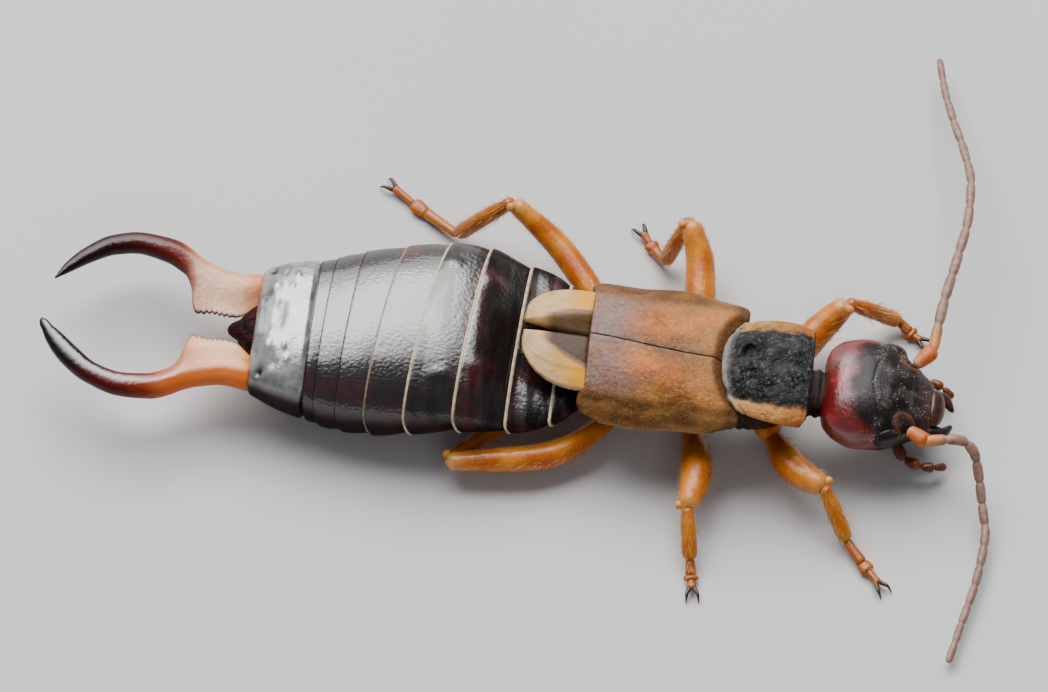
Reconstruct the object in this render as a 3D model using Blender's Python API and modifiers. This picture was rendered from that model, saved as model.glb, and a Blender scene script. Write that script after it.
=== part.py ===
"""Life-size still model of a male common earwig, resting on the floor.

The animal lies along X with its head towards +X and its left side towards +Y.
Sizes and places are in millimetres and become metres when a mesh is made.
"""

import math

import bmesh
import bpy
from mathutils import Matrix, Vector

MM = 0.001

# Clearance between neighbouring pieces, scaled down to suit a 17 mm animal
GAP = 0.10
# Distance under which the corners of a fused solid are taken as one
WELD = 0.001

# Height of a cross-section's widest place, as a share of its height
WAIST_SHARE = 0.45

# The body's middle line seen from above, as stations (x, y) from the forceps to the neck
MIDLINE = ((-8.90, -0.06), (-4.95, -0.20), (-1.00, 0.06), (1.20, -0.04), (3.70, -0.28), (5.40, -0.26))

# Thorax block under the wing cases, which carries the six legs
THORAX_REAR = 1.62
THORAX_FRONT = 4.95
THORAX_HALF_WIDTH = 0.82
THORAX_TOP = 1.45
THORAX_BOTTOM = 0.85
THORAX_CORNER_POWER = 4.0
THORAX_TAPER_FROM = 3.7
THORAX_TAPER = 0.22

# Abdomen stations (x, half width), (x, top) and (x, bottom)
ABDOMEN_FRONT = THORAX_REAR - GAP
ABDOMEN_SHOULDER = 1.10
ABDOMEN_REAR = -3.93
ABDOMEN_WIDTHS = (
    (-3.93, 1.53), (-3.33, 1.72), (-2.68, 1.85), (-1.76, 1.92), (-1.02, 1.90), (-0.27, 1.78), (0.48, 1.57),
    (0.85, 1.34), (1.20, 1.00), (1.52, 0.70),
)
ABDOMEN_TOPS = (
    (-3.93, 2.07), (-2.50, 2.28), (-1.65, 2.30), (-0.85, 2.21), (-0.28, 1.74), (-0.08, 1.58), (1.52, 1.48),
)
ABDOMEN_BOTTOMS = (
    (-3.93, 0.12), (-3.50, 0.00), (-3.30, -0.04), (-2.70, -0.04), (-2.45, 0.02), (-1.90, 0.24),
    (-1.20, 0.50), (-0.50, 0.68), (0.20, 0.84), (0.80, 0.97), (1.52, 0.99),
)
ABDOMEN_POWER = 2.25
# Rear edges of the back plates, from the wings to the forceps
PLATE_EDGES = (0.65, -0.14, -1.02, -1.87, -2.62, -3.24, -3.69, ABDOMEN_REAR)
PLATE_STEP = 0.06
PLATE_LIP = 0.03
# How far a plate's edge runs forward for each millimetre towards the animal's left
PLATE_SLANTS = (
    (-3.93, 0.00), (-3.69, 0.03), (-3.24, 0.06), (-2.62, 0.12), (-1.87, 0.15), (0.00, 0.15), (1.52, 0.075),
)

# Large last segment, with a bump over the root of each forceps arm
LAST_FRONT = ABDOMEN_REAR - GAP
LAST_REAR = -4.95
LAST_WIDTHS = ((-4.95, 1.24), (-4.40, 1.43), (-4.03, 1.49))
LAST_TOPS = ((-4.95, 1.72), (-4.70, 1.95), (-4.35, 2.04), (-4.03, 2.02))
LAST_BOTTOMS = ((-4.95, 0.72), (-4.50, 0.42), (-4.03, 0.22))
LAST_POWER = 2.35
BUMP_FLOOR = 1.20
BUMP_LENGTH = 0.17
BUMP_HEIGHT = 0.10
BUMP_X = -4.62
BUMP_ACROSS = 0.78
BUMP_SPREAD = 0.26

# Forceps: distance back, arm centre out from the middle, outer and inner half width, half thickness
FORCEPS_ROOT_X = LAST_REAR - GAP
FORCEPS_HEIGHT = 1.20
FORCEPS_TIP_RISE = 0.25
FORCEPS_LENGTH = 3.90
FORCEPS_STATIONS = (
    (0.00, 0.92, 0.28, 0.46, 0.30),
    (0.35, 0.90, 0.27, 0.66, 0.27),
    (0.85, 1.00, 0.27, 0.76, 0.25),
    (1.10, 1.10, 0.27, 0.84, 0.25),
    (1.20, 1.15, 0.27, 0.55, 0.25),
    (1.36, 1.24, 0.26, 0.30, 0.25),
    (1.75, 1.40, 0.26, 0.26, 0.25),
    (2.30, 1.46, 0.25, 0.25, 0.25),
    (2.85, 1.33, 0.24, 0.24, 0.24),
    (3.30, 1.05, 0.21, 0.21, 0.21),
    (3.65, 0.73, 0.15, 0.15, 0.15),
    (3.90, 0.45, 0.05, 0.05, 0.05),
)
FORCEPS_DRIFT = 0.034
FORCEPS_TURN_FROM = 1.25
FORCEPS_TURN_TO = 2.00
TOOTH_COUNT = 5
TOOTH_DEPTH = 0.07
TOOTH_FROM = 0.40
TOOTH_TO = 1.10

# Small plate between the roots of the forceps
PYGIDIUM_LENGTH = 0.42
PYGIDIUM_HALF_WIDTH = 0.22
PYGIDIUM_HEIGHT = 0.50

# Leathery wing cases and the tips of the folded wings behind them
SHEET_THICKNESS = 0.50
ELYTRA_TOP = 2.30
ELYTRA_REAR = 1.22
ELYTRA_HALF_WIDTH = 1.42
ELYTRA_DROP = 0.75
ELYTRA_BEND = math.radians(60.0)
ELYTRA_CORNER = 0.30
WING_TOP = 2.20
WING_TIP_X = 0.02
WING_THICKNESS = 0.40
WING_HALF_WIDTH = 1.05
WING_TIP_WIDTH = 0.34
WING_INNER = {"left": 0.15, "right": 0.03}

# Neck shield
PRONOTUM_REAR = 3.70
PRONOTUM_FRONT = 5.30
PRONOTUM_HALF_WIDTH = 1.00
PRONOTUM_TOP = 2.35
PRONOTUM_SIDE_DROP = 0.26
PRONOTUM_REAR_ROUNDING = 0.36
PRONOTUM_RIM = 0.05

# Head, as stations (x, half width), (x, top) and (x, bottom) about its own axis
NECK_FRONT = 5.55
NECK_HALF_WIDTH = 0.45
HEAD_REAR = NECK_FRONT + GAP
HEAD_FRONT = 7.52
HEAD_AXIS = ((5.60, -0.20), (7.90, -0.28))
HEAD_WIDTHS = (
    (5.65, 0.56), (5.72, 0.76), (5.95, 0.97), (6.30, 1.06), (6.75, 1.02), (7.05, 0.87), (7.30, 0.70),
    (7.52, 0.56),
)
HEAD_TOPS = (
    (5.65, 1.60), (5.75, 1.76), (6.05, 1.94), (6.40, 2.00), (6.80, 1.92), (7.15, 1.72), (7.52, 1.42),
)
HEAD_BOTTOMS = ((5.65, 1.00), (5.80, 0.88), (6.20, 0.76), (6.80, 0.72), (7.52, 0.74))
HEAD_POWER = 2.3
EYE_X = 6.80
EYE_HEIGHT = 1.40
EYE_SINK = 0.80
EYE_RADII = (0.28, 0.22, 0.25)
EYE_TURN = math.radians(-18.0)

# Antennae: points that their middle line passes through, from the socket out
SOCKET_X = 7.22
SOCKET_ACROSS = 0.62
SOCKET_HEIGHT = 1.36
ANTENNA_SEGMENTS = 13
ANTENNA_STEPS = 4
ANTENNA_RADIUS = 0.25
ANTENNA_TIP_RADIUS = 0.15
ANTENNA_WAIST = 0.84
ANTENNA_PATHS = {
    "left": (
        (7.56, 0.80, 1.46), (7.62, 1.69, 1.55), (7.78, 2.70, 1.50), (7.91, 3.73, 1.40), (7.89, 4.43, 1.30),
        (7.72, 5.17, 1.10), (7.42, 6.01, 0.90), (7.20, 6.75, 0.70), (7.04, 7.50, 0.50),
    ),
    "right": (
        (7.60, -1.12, 1.38), (7.88, -1.02, 1.38), (8.20, -0.96, 1.32), (8.46, -1.06, 1.14),
        (8.60, -1.36, 0.82), (8.72, -1.80, 0.50), (8.84, -2.40, 0.33), (8.77, -3.20, 0.27),
        (8.58, -4.13, 0.24), (8.41, -4.96, 0.22),
    ),
}

# Mouthparts
LABRUM_LENGTH = 0.28
LABRUM_HALF_WIDTH = 0.34
LABRUM_THICKNESS = 0.26
LABRUM_TOP = 1.42
LABRUM_SLOPE = 0.18
MANDIBLE_RADIUS = 0.15
MANDIBLE_LENGTH = 0.40
MANDIBLE_ACROSS = (0.34, 0.16)
MANDIBLE_HEIGHT = 0.85
PALP_RADIUS = 0.20
PALP_TIP_RADIUS = 0.10
PALP_ROOT = (7.00, 0.52)
PALP_BENDS = ((7.22, 0.78, 0.44), (7.52, 0.90, 0.50), (7.78, 0.84, 0.42), (7.98, 0.72, 0.26))
PALP_STEPS = 12
LIP_CENTRE = (7.05, 0.37)
LIP_RADII = (0.42, 0.26, 0.18)
LIP_PALP = ((7.20, 0.10, 0.36), (7.48, 0.24, 0.38), (7.72, 0.28, 0.30))
LIP_PALP_RADII = (0.12, 0.12, 0.08)

# Legs: hip (x, across), thigh and knee (x, y, z), ankle (x, y) and toe (x, y)
COXA_TOP = THORAX_BOTTOM - GAP
COXA_BOTTOM = 0.36
COXA_TOP_RADIUS = 0.33
COXA_BOTTOM_RADIUS = 0.24
FEMUR_RADII = (0.22, 0.26, 0.29, 0.30, 0.30, 0.28, 0.25)
FEMUR_START = 0.44
TIBIA_RADIUS = 0.25
TIBIA_END_RADIUS = 0.22
ANKLE_HEIGHT = 0.30
TARSUS_HEIGHT = 0.19
TARSUS_SHARES = (0.50, 0.20, 0.30)
TARSUS_RADII = ((0.22, 0.21), (0.19, 0.25), (0.18, 0.20))
CLAW_REACH = 0.10
CLAW_LENGTH = 0.26
CLAW_RADIUS = 0.08
CLAW_SPREAD = 0.16
CLAW_DROP = 0.06
LEGS = {
    "leg_front_left": (
        (4.62, 0.45), (5.42, 1.34, 0.86), (5.86, 1.68, 1.25), (6.82, 1.96), (7.26, 1.66),
    ),
    "leg_front_right": (
        (4.62, -0.45), (5.20, -1.62, 0.80), (5.80, -2.03, 0.95), (6.31, -2.72), (6.98, -3.47),
    ),
    "leg_mid_left": (
        (3.20, 0.46), (3.04, 2.30, 0.96), (2.76, 2.99, 1.40), (2.34, 2.69), (1.87, 3.30),
    ),
    "leg_mid_right": (
        (3.20, -0.46), (3.43, -1.95, 0.76), (3.34, -2.68, 0.80), (3.49, -3.46), (3.58, -3.98),
    ),
    "leg_hind_left": (
        (2.05, 0.46), (0.29, 2.46, 1.00), (-0.57, 2.94, 1.50), (-1.60, 2.82), (-2.90, 3.72),
    ),
    "leg_hind_right": (
        (2.05, -0.46), (0.65, -1.78, 0.58), (-1.20, -2.15, 0.62), (0.00, -0.85), (1.15, -0.35),
    ),
}

FINISHES = {
    "head_red": ((0.16, 0.018, 0.010), 0.22),
    "eye_black": ((0.010, 0.009, 0.009), 0.12),
    "membrane_tan": ((0.42, 0.22, 0.10), 0.50),
    "pronotum_grey": ((0.045, 0.042, 0.040), 0.45),
    "elytra_brown": ((0.26, 0.105, 0.040), 0.42),
    "wing_buff": ((0.60, 0.40, 0.17), 0.38),
    "abdomen_black": ((0.030, 0.014, 0.012), 0.25),
    "last_segment_dark": ((0.040, 0.036, 0.034), 0.22),
    "forceps_amber": ((0.45, 0.10, 0.035), 0.20),
    "leg_amber": ((0.62, 0.26, 0.035), 0.32),
    "antenna_brown": ((0.30, 0.13, 0.075), 0.42),
    "mouth_brown": ((0.12, 0.030, 0.014), 0.30),
}


def clear_scene():
    for item in list(bpy.data.objects):
        bpy.data.objects.remove(item, do_unlink=True)


def make_collection(name):
    collection = bpy.data.collections.new(name)
    bpy.context.scene.collection.children.link(collection)
    return collection


def make_finish(name):
    colour, roughness = FINISHES[name]
    finish = bpy.data.materials.new(name)
    finish.use_nodes = True
    shader = finish.node_tree.nodes["Principled BSDF"]
    shader.inputs["Base Color"].default_value = (*colour, 1.0)
    shader.inputs["Roughness"].default_value = roughness
    shader.inputs["Metallic"].default_value = 0.0
    return finish


def tangents(stations):
    """Slopes of a smooth curve through the stations that never overshoots them."""
    steps = []
    for first, second in zip(stations, stations[1:]):
        steps.append((second[1] - first[1]) / (second[0] - first[0]))
    inner = []
    for before, after in zip(steps, steps[1:]):
        inner.append(2.0 * before * after / (before + after) if before * after > 0.0 else 0.0)
    return [steps[0]] + inner + [steps[-1]]


def through(stations, x):
    """Value at x on a smooth curve through (x, value) stations in rising order."""
    if x <= stations[0][0]:
        return stations[0][1]
    if x >= stations[-1][0]:
        return stations[-1][1]
    slopes = tangents(stations)
    index = max(i for i in range(len(stations) - 1) if stations[i][0] <= x)
    start, first = stations[index]
    end, second = stations[index + 1]
    width = end - start
    t = (x - start) / width
    value = first * (1 + 2 * t) * (1 - t) ** 2 + second * t * t * (3 - 2 * t)
    return value + slopes[index] * width * t * (1 - t) ** 2 - slopes[index + 1] * width * t * t * (1 - t)


def middle(x):
    return through(MIDLINE, x)


def signed_power(value, power):
    return math.copysign(abs(value) ** power, value)


def ring(x, axis, half_width, top, bottom, power, count, slant=None):
    """Rounded cross-section at x, widest at its waist, square to the axis curve unless a slant is given."""
    slope = (axis(x + 0.05) - axis(x - 0.05)) / 0.1
    length = math.hypot(1.0, slope)
    if slant is not None:
        slope, length = -slant, 1.0
    waist = bottom + WAIST_SHARE * (top - bottom)
    points = []
    for step in range(count):
        angle = 2.0 * math.pi * step / count
        across = half_width * signed_power(math.cos(angle), 2.0 / power)
        up = signed_power(math.sin(angle), 2.0 / power)
        height = waist + up * ((top - waist) if up > 0.0 else (waist - bottom))
        points.append(Vector((x - slope * across / length, axis(x) + across / length, height)))
    return points


def finish_object(name, mesh, collection, finish):
    """Turn a bmesh in millimetres into a named object in metres."""
    bmesh.ops.recalc_face_normals(mesh, faces=mesh.faces)
    bmesh.ops.scale(mesh, vec=(MM, MM, MM), verts=mesh.verts)
    data = bpy.data.meshes.new(name)
    mesh.to_mesh(data)
    mesh.free()
    data.materials.append(finish)
    data.shade_smooth()
    item = bpy.data.objects.new(name, data)
    collection.objects.link(item)
    return item


def loft(rings):
    """Closed bmesh skinned over rings that have the same number of points."""
    mesh = bmesh.new()
    rows = [[mesh.verts.new(point) for point in points] for points in rings]
    count = len(rows[0])
    for first, second in zip(rows, rows[1:]):
        for i in range(count):
            j = (i + 1) % count
            mesh.faces.new((first[i], first[j], second[j], second[i]))
    mesh.faces.new(rows[0])
    mesh.faces.new(rows[-1])
    return mesh


def cut_at_floor(mesh):
    """Give a bmesh a flat where it reaches below the floor."""
    geometry = mesh.verts[:] + mesh.edges[:] + mesh.faces[:]
    cut = bmesh.ops.bisect_plane(
        mesh, geom=geometry, dist=1e-5, plane_co=(0, 0, 0), plane_no=(0, 0, -1), clear_outer=True,
    )
    edges = [item for item in cut["geom_cut"] if isinstance(item, bmesh.types.BMEdge)]
    bmesh.ops.holes_fill(mesh, edges=edges, sides=0)
    for vertex in mesh.verts:
        if abs(vertex.co.z) < 1e-4:
            vertex.co.z = 0.0


def sheet(name, steps_along, steps_across, place, thickness, collection, finish):
    """Curved plate: a grid mapped by place(u, v), thickened downwards."""
    mesh = bmesh.new()
    bmesh.ops.create_grid(mesh, x_segments=steps_along, y_segments=steps_across, size=1.0)
    bmesh.ops.triangulate(mesh, faces=mesh.faces)
    for vertex in mesh.verts:
        vertex.co = place((vertex.co.x + 1.0) / 2.0, (vertex.co.y + 1.0) / 2.0)
    bmesh.ops.scale(mesh, vec=(MM, MM, MM), verts=mesh.verts)
    data = bpy.data.meshes.new(name)
    mesh.to_mesh(data)
    mesh.free()
    data.materials.append(finish)
    data.shade_smooth()
    item = bpy.data.objects.new(name, data)
    collection.objects.link(item)
    solid = item.modifiers.new("thickness", "SOLIDIFY")
    solid.thickness = thickness * MM
    solid.offset = -1.0
    solid.use_even_offset = True
    return item


def tube(points, radii, resolution, collection):
    """Round-ended tapered limb through the points, made as a bevelled curve."""
    first, last = points[0], points[-1]
    start = first + (first - points[1]).normalized() * radii[0] * 0.45
    end = last + (last - points[-2]).normalized() * radii[-1] * 0.45
    path = [start] + list(points) + [end]
    sizes = [radii[0] * 0.62] + list(radii) + [radii[-1] * 0.62]
    curve = bpy.data.curves.new("limb", "CURVE")
    curve.dimensions = "3D"
    curve.bevel_depth = MM
    curve.bevel_resolution = resolution
    curve.use_fill_caps = True
    spline = curve.splines.new("POLY")
    spline.points.add(len(path) - 1)
    for point, place, size in zip(spline.points, path, sizes):
        point.co = (*(place * MM), 1.0)
        point.radius = size
    item = bpy.data.objects.new("limb", curve)
    collection.objects.link(item)
    return to_mesh(item, collection)


def to_mesh(item, collection):
    """Replace a curve or a modified object by its evaluated, welded mesh."""
    bpy.context.view_layer.update()
    evaluated = item.evaluated_get(bpy.context.evaluated_depsgraph_get())
    data = bpy.data.meshes.new_from_object(evaluated)
    mesh = bmesh.new()
    mesh.from_mesh(data)
    bmesh.ops.remove_doubles(mesh, verts=mesh.verts, dist=1e-7)
    bmesh.ops.recalc_face_normals(mesh, faces=mesh.faces)
    mesh.to_mesh(data)
    mesh.free()
    solid = bpy.data.objects.new(item.name, data)
    solid.matrix_world = item.matrix_world.copy()
    collection.objects.link(solid)
    bpy.data.objects.remove(item, do_unlink=True)
    return solid


def largest_surface(mesh):
    """Keep only the largest connected surface of a bmesh."""
    left = set(mesh.verts)
    groups = []
    while left:
        stack = [left.pop()]
        group = set(stack)
        while stack:
            for edge in stack.pop().link_edges:
                for vertex in edge.verts:
                    if vertex in left:
                        left.remove(vertex)
                        group.add(vertex)
                        stack.append(vertex)
        groups.append(group)
    groups.sort(key=len)
    for group in groups[:-1]:
        bmesh.ops.delete(mesh, geom=list(group), context="VERTS")


def fuse(name, pieces, collection, finish, flat=False):
    """Join overlapping pieces into one closed solid, with flats on the floor if asked."""
    joined = bpy.data.collections.new(name + "_pieces")
    bpy.context.scene.collection.children.link(joined)
    for piece in pieces[1:]:
        for owner in piece.users_collection:
            owner.objects.unlink(piece)
        joined.objects.link(piece)
    base = pieces[0]
    union = base.modifiers.new("union", "BOOLEAN")
    union.operation = "UNION"
    union.operand_type = "COLLECTION"
    union.collection = joined
    union.solver = "MANIFOLD"
    solid = to_mesh(base, collection)
    for piece in list(joined.objects):
        bpy.data.objects.remove(piece, do_unlink=True)
    bpy.data.collections.remove(joined)
    mesh = bmesh.new()
    mesh.from_mesh(solid.data)
    bmesh.ops.scale(mesh, vec=(1 / MM, 1 / MM, 1 / MM), verts=mesh.verts)
    bmesh.ops.remove_doubles(mesh, verts=mesh.verts, dist=WELD)
    largest_surface(mesh)
    if flat:
        cut_at_floor(mesh)
    bpy.data.objects.remove(solid, do_unlink=True)
    return finish_object(name, mesh, collection, finish)


def make_thorax(collection):
    rings = []
    for x in (THORAX_REAR, 2.6, THORAX_TAPER_FROM, 4.4, THORAX_FRONT):
        share = max(0.0, (x - THORAX_TAPER_FROM) / (THORAX_FRONT - THORAX_TAPER_FROM))
        half = THORAX_HALF_WIDTH * (1.0 - THORAX_TAPER * share ** 2)
        rings.append(ring(x, middle, half, THORAX_TOP, THORAX_BOTTOM, THORAX_CORNER_POWER, 20))
    return finish_object("thorax", loft(rings), collection, make_finish("membrane_tan"))


def make_neck(collection):
    rings = []
    for x in (THORAX_FRONT + GAP, 5.3, NECK_FRONT):
        rings.append(ring(x, middle, NECK_HALF_WIDTH, THORAX_TOP - 0.05, THORAX_BOTTOM + 0.12, 2.4, 16))
    return finish_object("neck", loft(rings), collection, make_finish("membrane_tan"))


def abdomen_ring(x, inset):
    top = through(ABDOMEN_TOPS, x) - inset
    width = through(ABDOMEN_WIDTHS, x) - inset
    slant = through(PLATE_SLANTS, x)
    return ring(x, middle, width, top, through(ABDOMEN_BOTTOMS, x), ABDOMEN_POWER, 28, slant)


def make_abdomen(collection):
    """Stepped back plates, each edge standing over the front of the next plate."""
    rings = [abdomen_ring(ABDOMEN_FRONT, 0.0), abdomen_ring(ABDOMEN_SHOULDER, 0.0)]
    front = ABDOMEN_SHOULDER
    for edge in PLATE_EDGES:
        length = front - edge
        if front < ABDOMEN_SHOULDER:
            rings.append(abdomen_ring(front - PLATE_LIP, PLATE_STEP))
        rings.append(abdomen_ring(front - 0.55 * length, 0.3 * PLATE_STEP))
        rings.append(abdomen_ring(edge, 0.0))
        front = edge
    mesh = loft(rings)
    cut_at_floor(mesh)
    return finish_object("abdomen", mesh, collection, make_finish("abdomen_black"))


def make_last_segment(collection):
    rings = []
    for x in (LAST_FRONT, -4.16, -4.30, -4.45, -4.60, -4.75, -4.87, LAST_REAR):
        width, top, bottom = (through(table, x) for table in (LAST_WIDTHS, LAST_TOPS, LAST_BOTTOMS))
        points = ring(x, middle, width, top, bottom, LAST_POWER, 28, slant=0.0)
        along = math.exp(-((x - BUMP_X) / BUMP_LENGTH) ** 2)
        for point in points:
            across = abs(point.y - middle(x)) - BUMP_ACROSS
            if point.z > BUMP_FLOOR:
                point.z += BUMP_HEIGHT * along * math.exp(-(across / BUMP_SPREAD) ** 2)
        rings.append(points)
    return finish_object("last_segment", loft(rings), collection, make_finish("last_segment_dark"))


def make_pygidium(collection):
    rings = []
    for back, share in ((0.0, 1.0), (0.5, 0.8), (0.85, 0.52), (1.0, 0.3)):
        x = FORCEPS_ROOT_X - back * PYGIDIUM_LENGTH
        half = 0.5 * PYGIDIUM_HEIGHT * share
        rings.append(ring(
            x, middle, PYGIDIUM_HALF_WIDTH * share, FORCEPS_HEIGHT + half, FORCEPS_HEIGHT - half, 2.4, 12,
        ))
    return finish_object("pygidium", loft(rings), collection, make_finish("mouth_brown"))


def forceps_column(column, s):
    return through(tuple((row[0], row[column]) for row in FORCEPS_STATIONS), s)


def tooth_wave(s):
    """Notches of the saw edge along the inside of the broad root plate."""
    if s < TOOTH_FROM or s > TOOTH_TO:
        return 0.0
    turns = TOOTH_COUNT * (s - TOOTH_FROM) / (TOOTH_TO - TOOTH_FROM)
    return 0.5 * TOOTH_DEPTH * (math.cos(2.0 * math.pi * turns) - 1.0)


def forceps_ring(s, side, count=10):
    centre = forceps_column(1, s)
    slope = (forceps_column(1, s + 0.02) - forceps_column(1, s - 0.02)) / 0.04
    turn = min(1.0, max(0.0, (s - FORCEPS_TURN_FROM) / (FORCEPS_TURN_TO - FORCEPS_TURN_FROM)))
    angle = math.atan(slope) * turn
    outer = forceps_column(2, s)
    inner = forceps_column(3, s) + tooth_wave(s)
    thick = forceps_column(4, s)
    height = FORCEPS_HEIGHT + FORCEPS_TIP_RISE * (s / FORCEPS_LENGTH) ** 2
    points = []
    for step in range(count):
        a = 2.0 * math.pi * step / count
        out = signed_power(math.cos(a), 0.8) * (outer if math.cos(a) > 0.0 else inner)
        up = signed_power(math.sin(a), 0.8) * thick
        back = s - out * math.sin(angle)
        across = centre + out * math.cos(angle)
        axis_y = middle(LAST_REAR) + FORCEPS_DRIFT * back
        points.append(Vector((FORCEPS_ROOT_X - back, axis_y + side * across, height + up)))
    return points


def make_forceps(name, side, collection):
    places = [0.0, 0.15, 0.30]
    tooth_steps = 4 * TOOTH_COUNT
    for step in range(tooth_steps + 1):
        places.append(TOOTH_FROM + (TOOTH_TO - TOOTH_FROM) * step / tooth_steps)
    places += [1.16, 1.26, 1.42]
    places += [1.60 + 0.20 * step for step in range(9)]
    places += [3.38, 3.55, 3.70, 3.82, FORCEPS_LENGTH]
    rings = [forceps_ring(s, side) for s in places]
    return finish_object(name, loft(rings), collection, make_finish("forceps_amber"))


def pronotum_rear(share):
    return PRONOTUM_REAR + PRONOTUM_REAR_ROUNDING * abs(share) ** 2.6


def pronotum_place(u, v):
    share = 2.0 * v - 1.0
    rear = pronotum_rear(share)
    front = PRONOTUM_FRONT - 0.06 * share ** 4
    x = rear + (front - rear) * u
    half = PRONOTUM_HALF_WIDTH * (1.0 - 0.10 * (1.0 - u) ** 4 - 0.10 * u ** 6)
    rim = PRONOTUM_RIM * abs(share) ** 8 + PRONOTUM_RIM * (1.0 - u) ** 8
    slope = PRONOTUM_SIDE_DROP * abs(share) ** 2.4 + 0.10 * u ** 3 + 0.06 * (1.0 - u) ** 3
    return Vector((x, middle(x) + half * share, PRONOTUM_TOP - slope + rim))


def make_pronotum(collection):
    finish = make_finish("pronotum_grey")
    return sheet("pronotum", 9, 12, pronotum_place, SHEET_THICKNESS, collection, finish)


def elytron_place(side, u, v):
    """Point on a wing case: u runs forward, v from the right edge to the left one."""
    out = v if side > 0 else 1.0 - v
    angle = ELYTRA_BEND * out
    inner = 0.6 * GAP
    across = inner + (ELYTRA_HALF_WIDTH - inner) * math.sin(angle) / math.sin(ELYTRA_BEND)
    drop = ELYTRA_DROP * (1.0 - math.cos(angle)) / (1.0 - math.cos(ELYTRA_BEND))
    rear = ELYTRA_REAR + ELYTRA_CORNER * out ** 4
    front = pronotum_rear(min(1.0, across / PRONOTUM_HALF_WIDTH)) - 1.5 * GAP
    x = rear + (front - rear) * u
    across -= 0.07 * out * u ** 3
    return Vector((x, middle(x) + side * across, ELYTRA_TOP - drop))


def make_elytron(name, side, collection):
    def place(u, v):
        return elytron_place(side, u, v)
    return sheet(name, 7, 9, place, SHEET_THICKNESS, collection, make_finish("elytra_brown"))


def make_wing_tip(name, side, inner, collection):
    """Tip of the folded hind wing, rounded behind and butted to the wing case."""
    def place(u, v):
        out = v if side > 0 else 1.0 - v
        fullness = math.sqrt(1.0 - (1.0 - min(1.0, u / 0.7)) ** 2)
        width = WING_TIP_WIDTH + (WING_HALF_WIDTH - inner - WING_TIP_WIDTH) * fullness
        across = inner + width * out
        front = ELYTRA_REAR + ELYTRA_CORNER * min(1.0, across / ELYTRA_HALF_WIDTH) ** 5 - GAP
        x = WING_TIP_X + (front - WING_TIP_X) * u
        drop = 0.22 * (across / WING_HALF_WIDTH) ** 2.4 + 0.05 * (1.0 - u) ** 2
        return Vector((x, middle(x) + side * across, WING_TOP - drop))
    return sheet(name, 7, 7, place, WING_THICKNESS, collection, make_finish("wing_buff"))


def head_axis(x):
    return through(HEAD_AXIS, x)


def inside_head(point):
    if not HEAD_REAR <= point.x <= HEAD_FRONT:
        return False
    top = through(HEAD_TOPS, point.x)
    bottom = through(HEAD_BOTTOMS, point.x)
    waist = bottom + WAIST_SHARE * (top - bottom)
    across = abs(point.y - head_axis(point.x)) / through(HEAD_WIDTHS, point.x)
    reach = (top - waist) if point.z > waist else (waist - bottom)
    return across ** HEAD_POWER + (abs(point.z - waist) / reach) ** HEAD_POWER < 1.0


def off_head(start, towards, clearance):
    """First point on the way that stands clear of the head's surface."""
    way = (towards - start).normalized()
    travelled = 0.0
    while inside_head(start + way * travelled):
        travelled += 0.01
    return start + way * (travelled + clearance)


def make_head(collection, cutters):
    rings = []
    for x in (HEAD_REAR, 5.72, 5.85, 6.05, 6.30, 6.55, 6.80, 7.00, 7.18, 7.36, HEAD_FRONT):
        width, top, bottom = (through(table, x) for table in (HEAD_WIDTHS, HEAD_TOPS, HEAD_BOTTOMS))
        rings.append(ring(x, head_axis, width, top, bottom, HEAD_POWER, 24))
    head = finish_object("head", loft(rings), collection, make_finish("head_red"))
    for side in (1, -1):
        socket = eyeball("eye_socket", side, GAP, cutters, make_finish("eye_black"))
        socket.hide_render = True
        socket.display_type = "WIRE"
        cut = head.modifiers.new("socket", "BOOLEAN")
        cut.operation = "DIFFERENCE"
        cut.object = socket
        cut.solver = "EXACT"
    return head


def eyeball(name, side, extra, collection, finish):
    mesh = bmesh.new()
    bmesh.ops.create_uvsphere(mesh, u_segments=14, v_segments=8, radius=1.0)
    radii = [radius + extra for radius in EYE_RADII]
    centre_y = head_axis(EYE_X) + side * through(HEAD_WIDTHS, EYE_X) * EYE_SINK
    place = Matrix.Translation((EYE_X, centre_y, EYE_HEIGHT)) @ Matrix.Rotation(side * EYE_TURN, 4, "Z")
    bmesh.ops.transform(mesh, matrix=place @ Matrix.Diagonal((*radii, 1.0)), verts=mesh.verts)
    return finish_object(name, mesh, collection, finish)


def smooth_path(points, steps):
    """Evenly spaced points on a smooth curve through a few places."""
    lengths = [0.0]
    for first, second in zip(points, points[1:]):
        lengths.append(lengths[-1] + (second - first).length)
    tables = []
    for axis in range(3):
        tables.append(tuple((length, point[axis]) for length, point in zip(lengths, points)))
    path = []
    for step in range(steps + 1):
        along = lengths[-1] * step / steps
        path.append(Vector([through(table, along) for table in tables]))
    return path


def make_antenna(name, side_name, side, collection):
    """Beaded feeler: a long first joint, then short ones that thin towards the tip."""
    start = Vector((SOCKET_X, head_axis(SOCKET_X) + side * SOCKET_ACROSS, SOCKET_HEIGHT))
    route = ANTENNA_PATHS[side_name]
    root = off_head(start, Vector(route[0]), GAP + 0.6 * ANTENNA_RADIUS)
    steps = ANTENNA_STEPS * (ANTENNA_SEGMENTS + 1)
    path = smooth_path([root] + [Vector(place) for place in route], steps)
    radii = []
    for step in range(steps + 1):
        share = step / steps
        base = ANTENNA_RADIUS + (ANTENNA_TIP_RADIUS - ANTENNA_RADIUS) * share
        waist = step % ANTENNA_STEPS == 0 and step > 0
        radii.append(base * (ANTENNA_WAIST if waist else 1.0))
    item = tube(path, radii, 1, collection)
    item.name = name
    item.data.materials.append(make_finish("antenna_brown"))
    item.data.shade_smooth()
    return item


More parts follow.
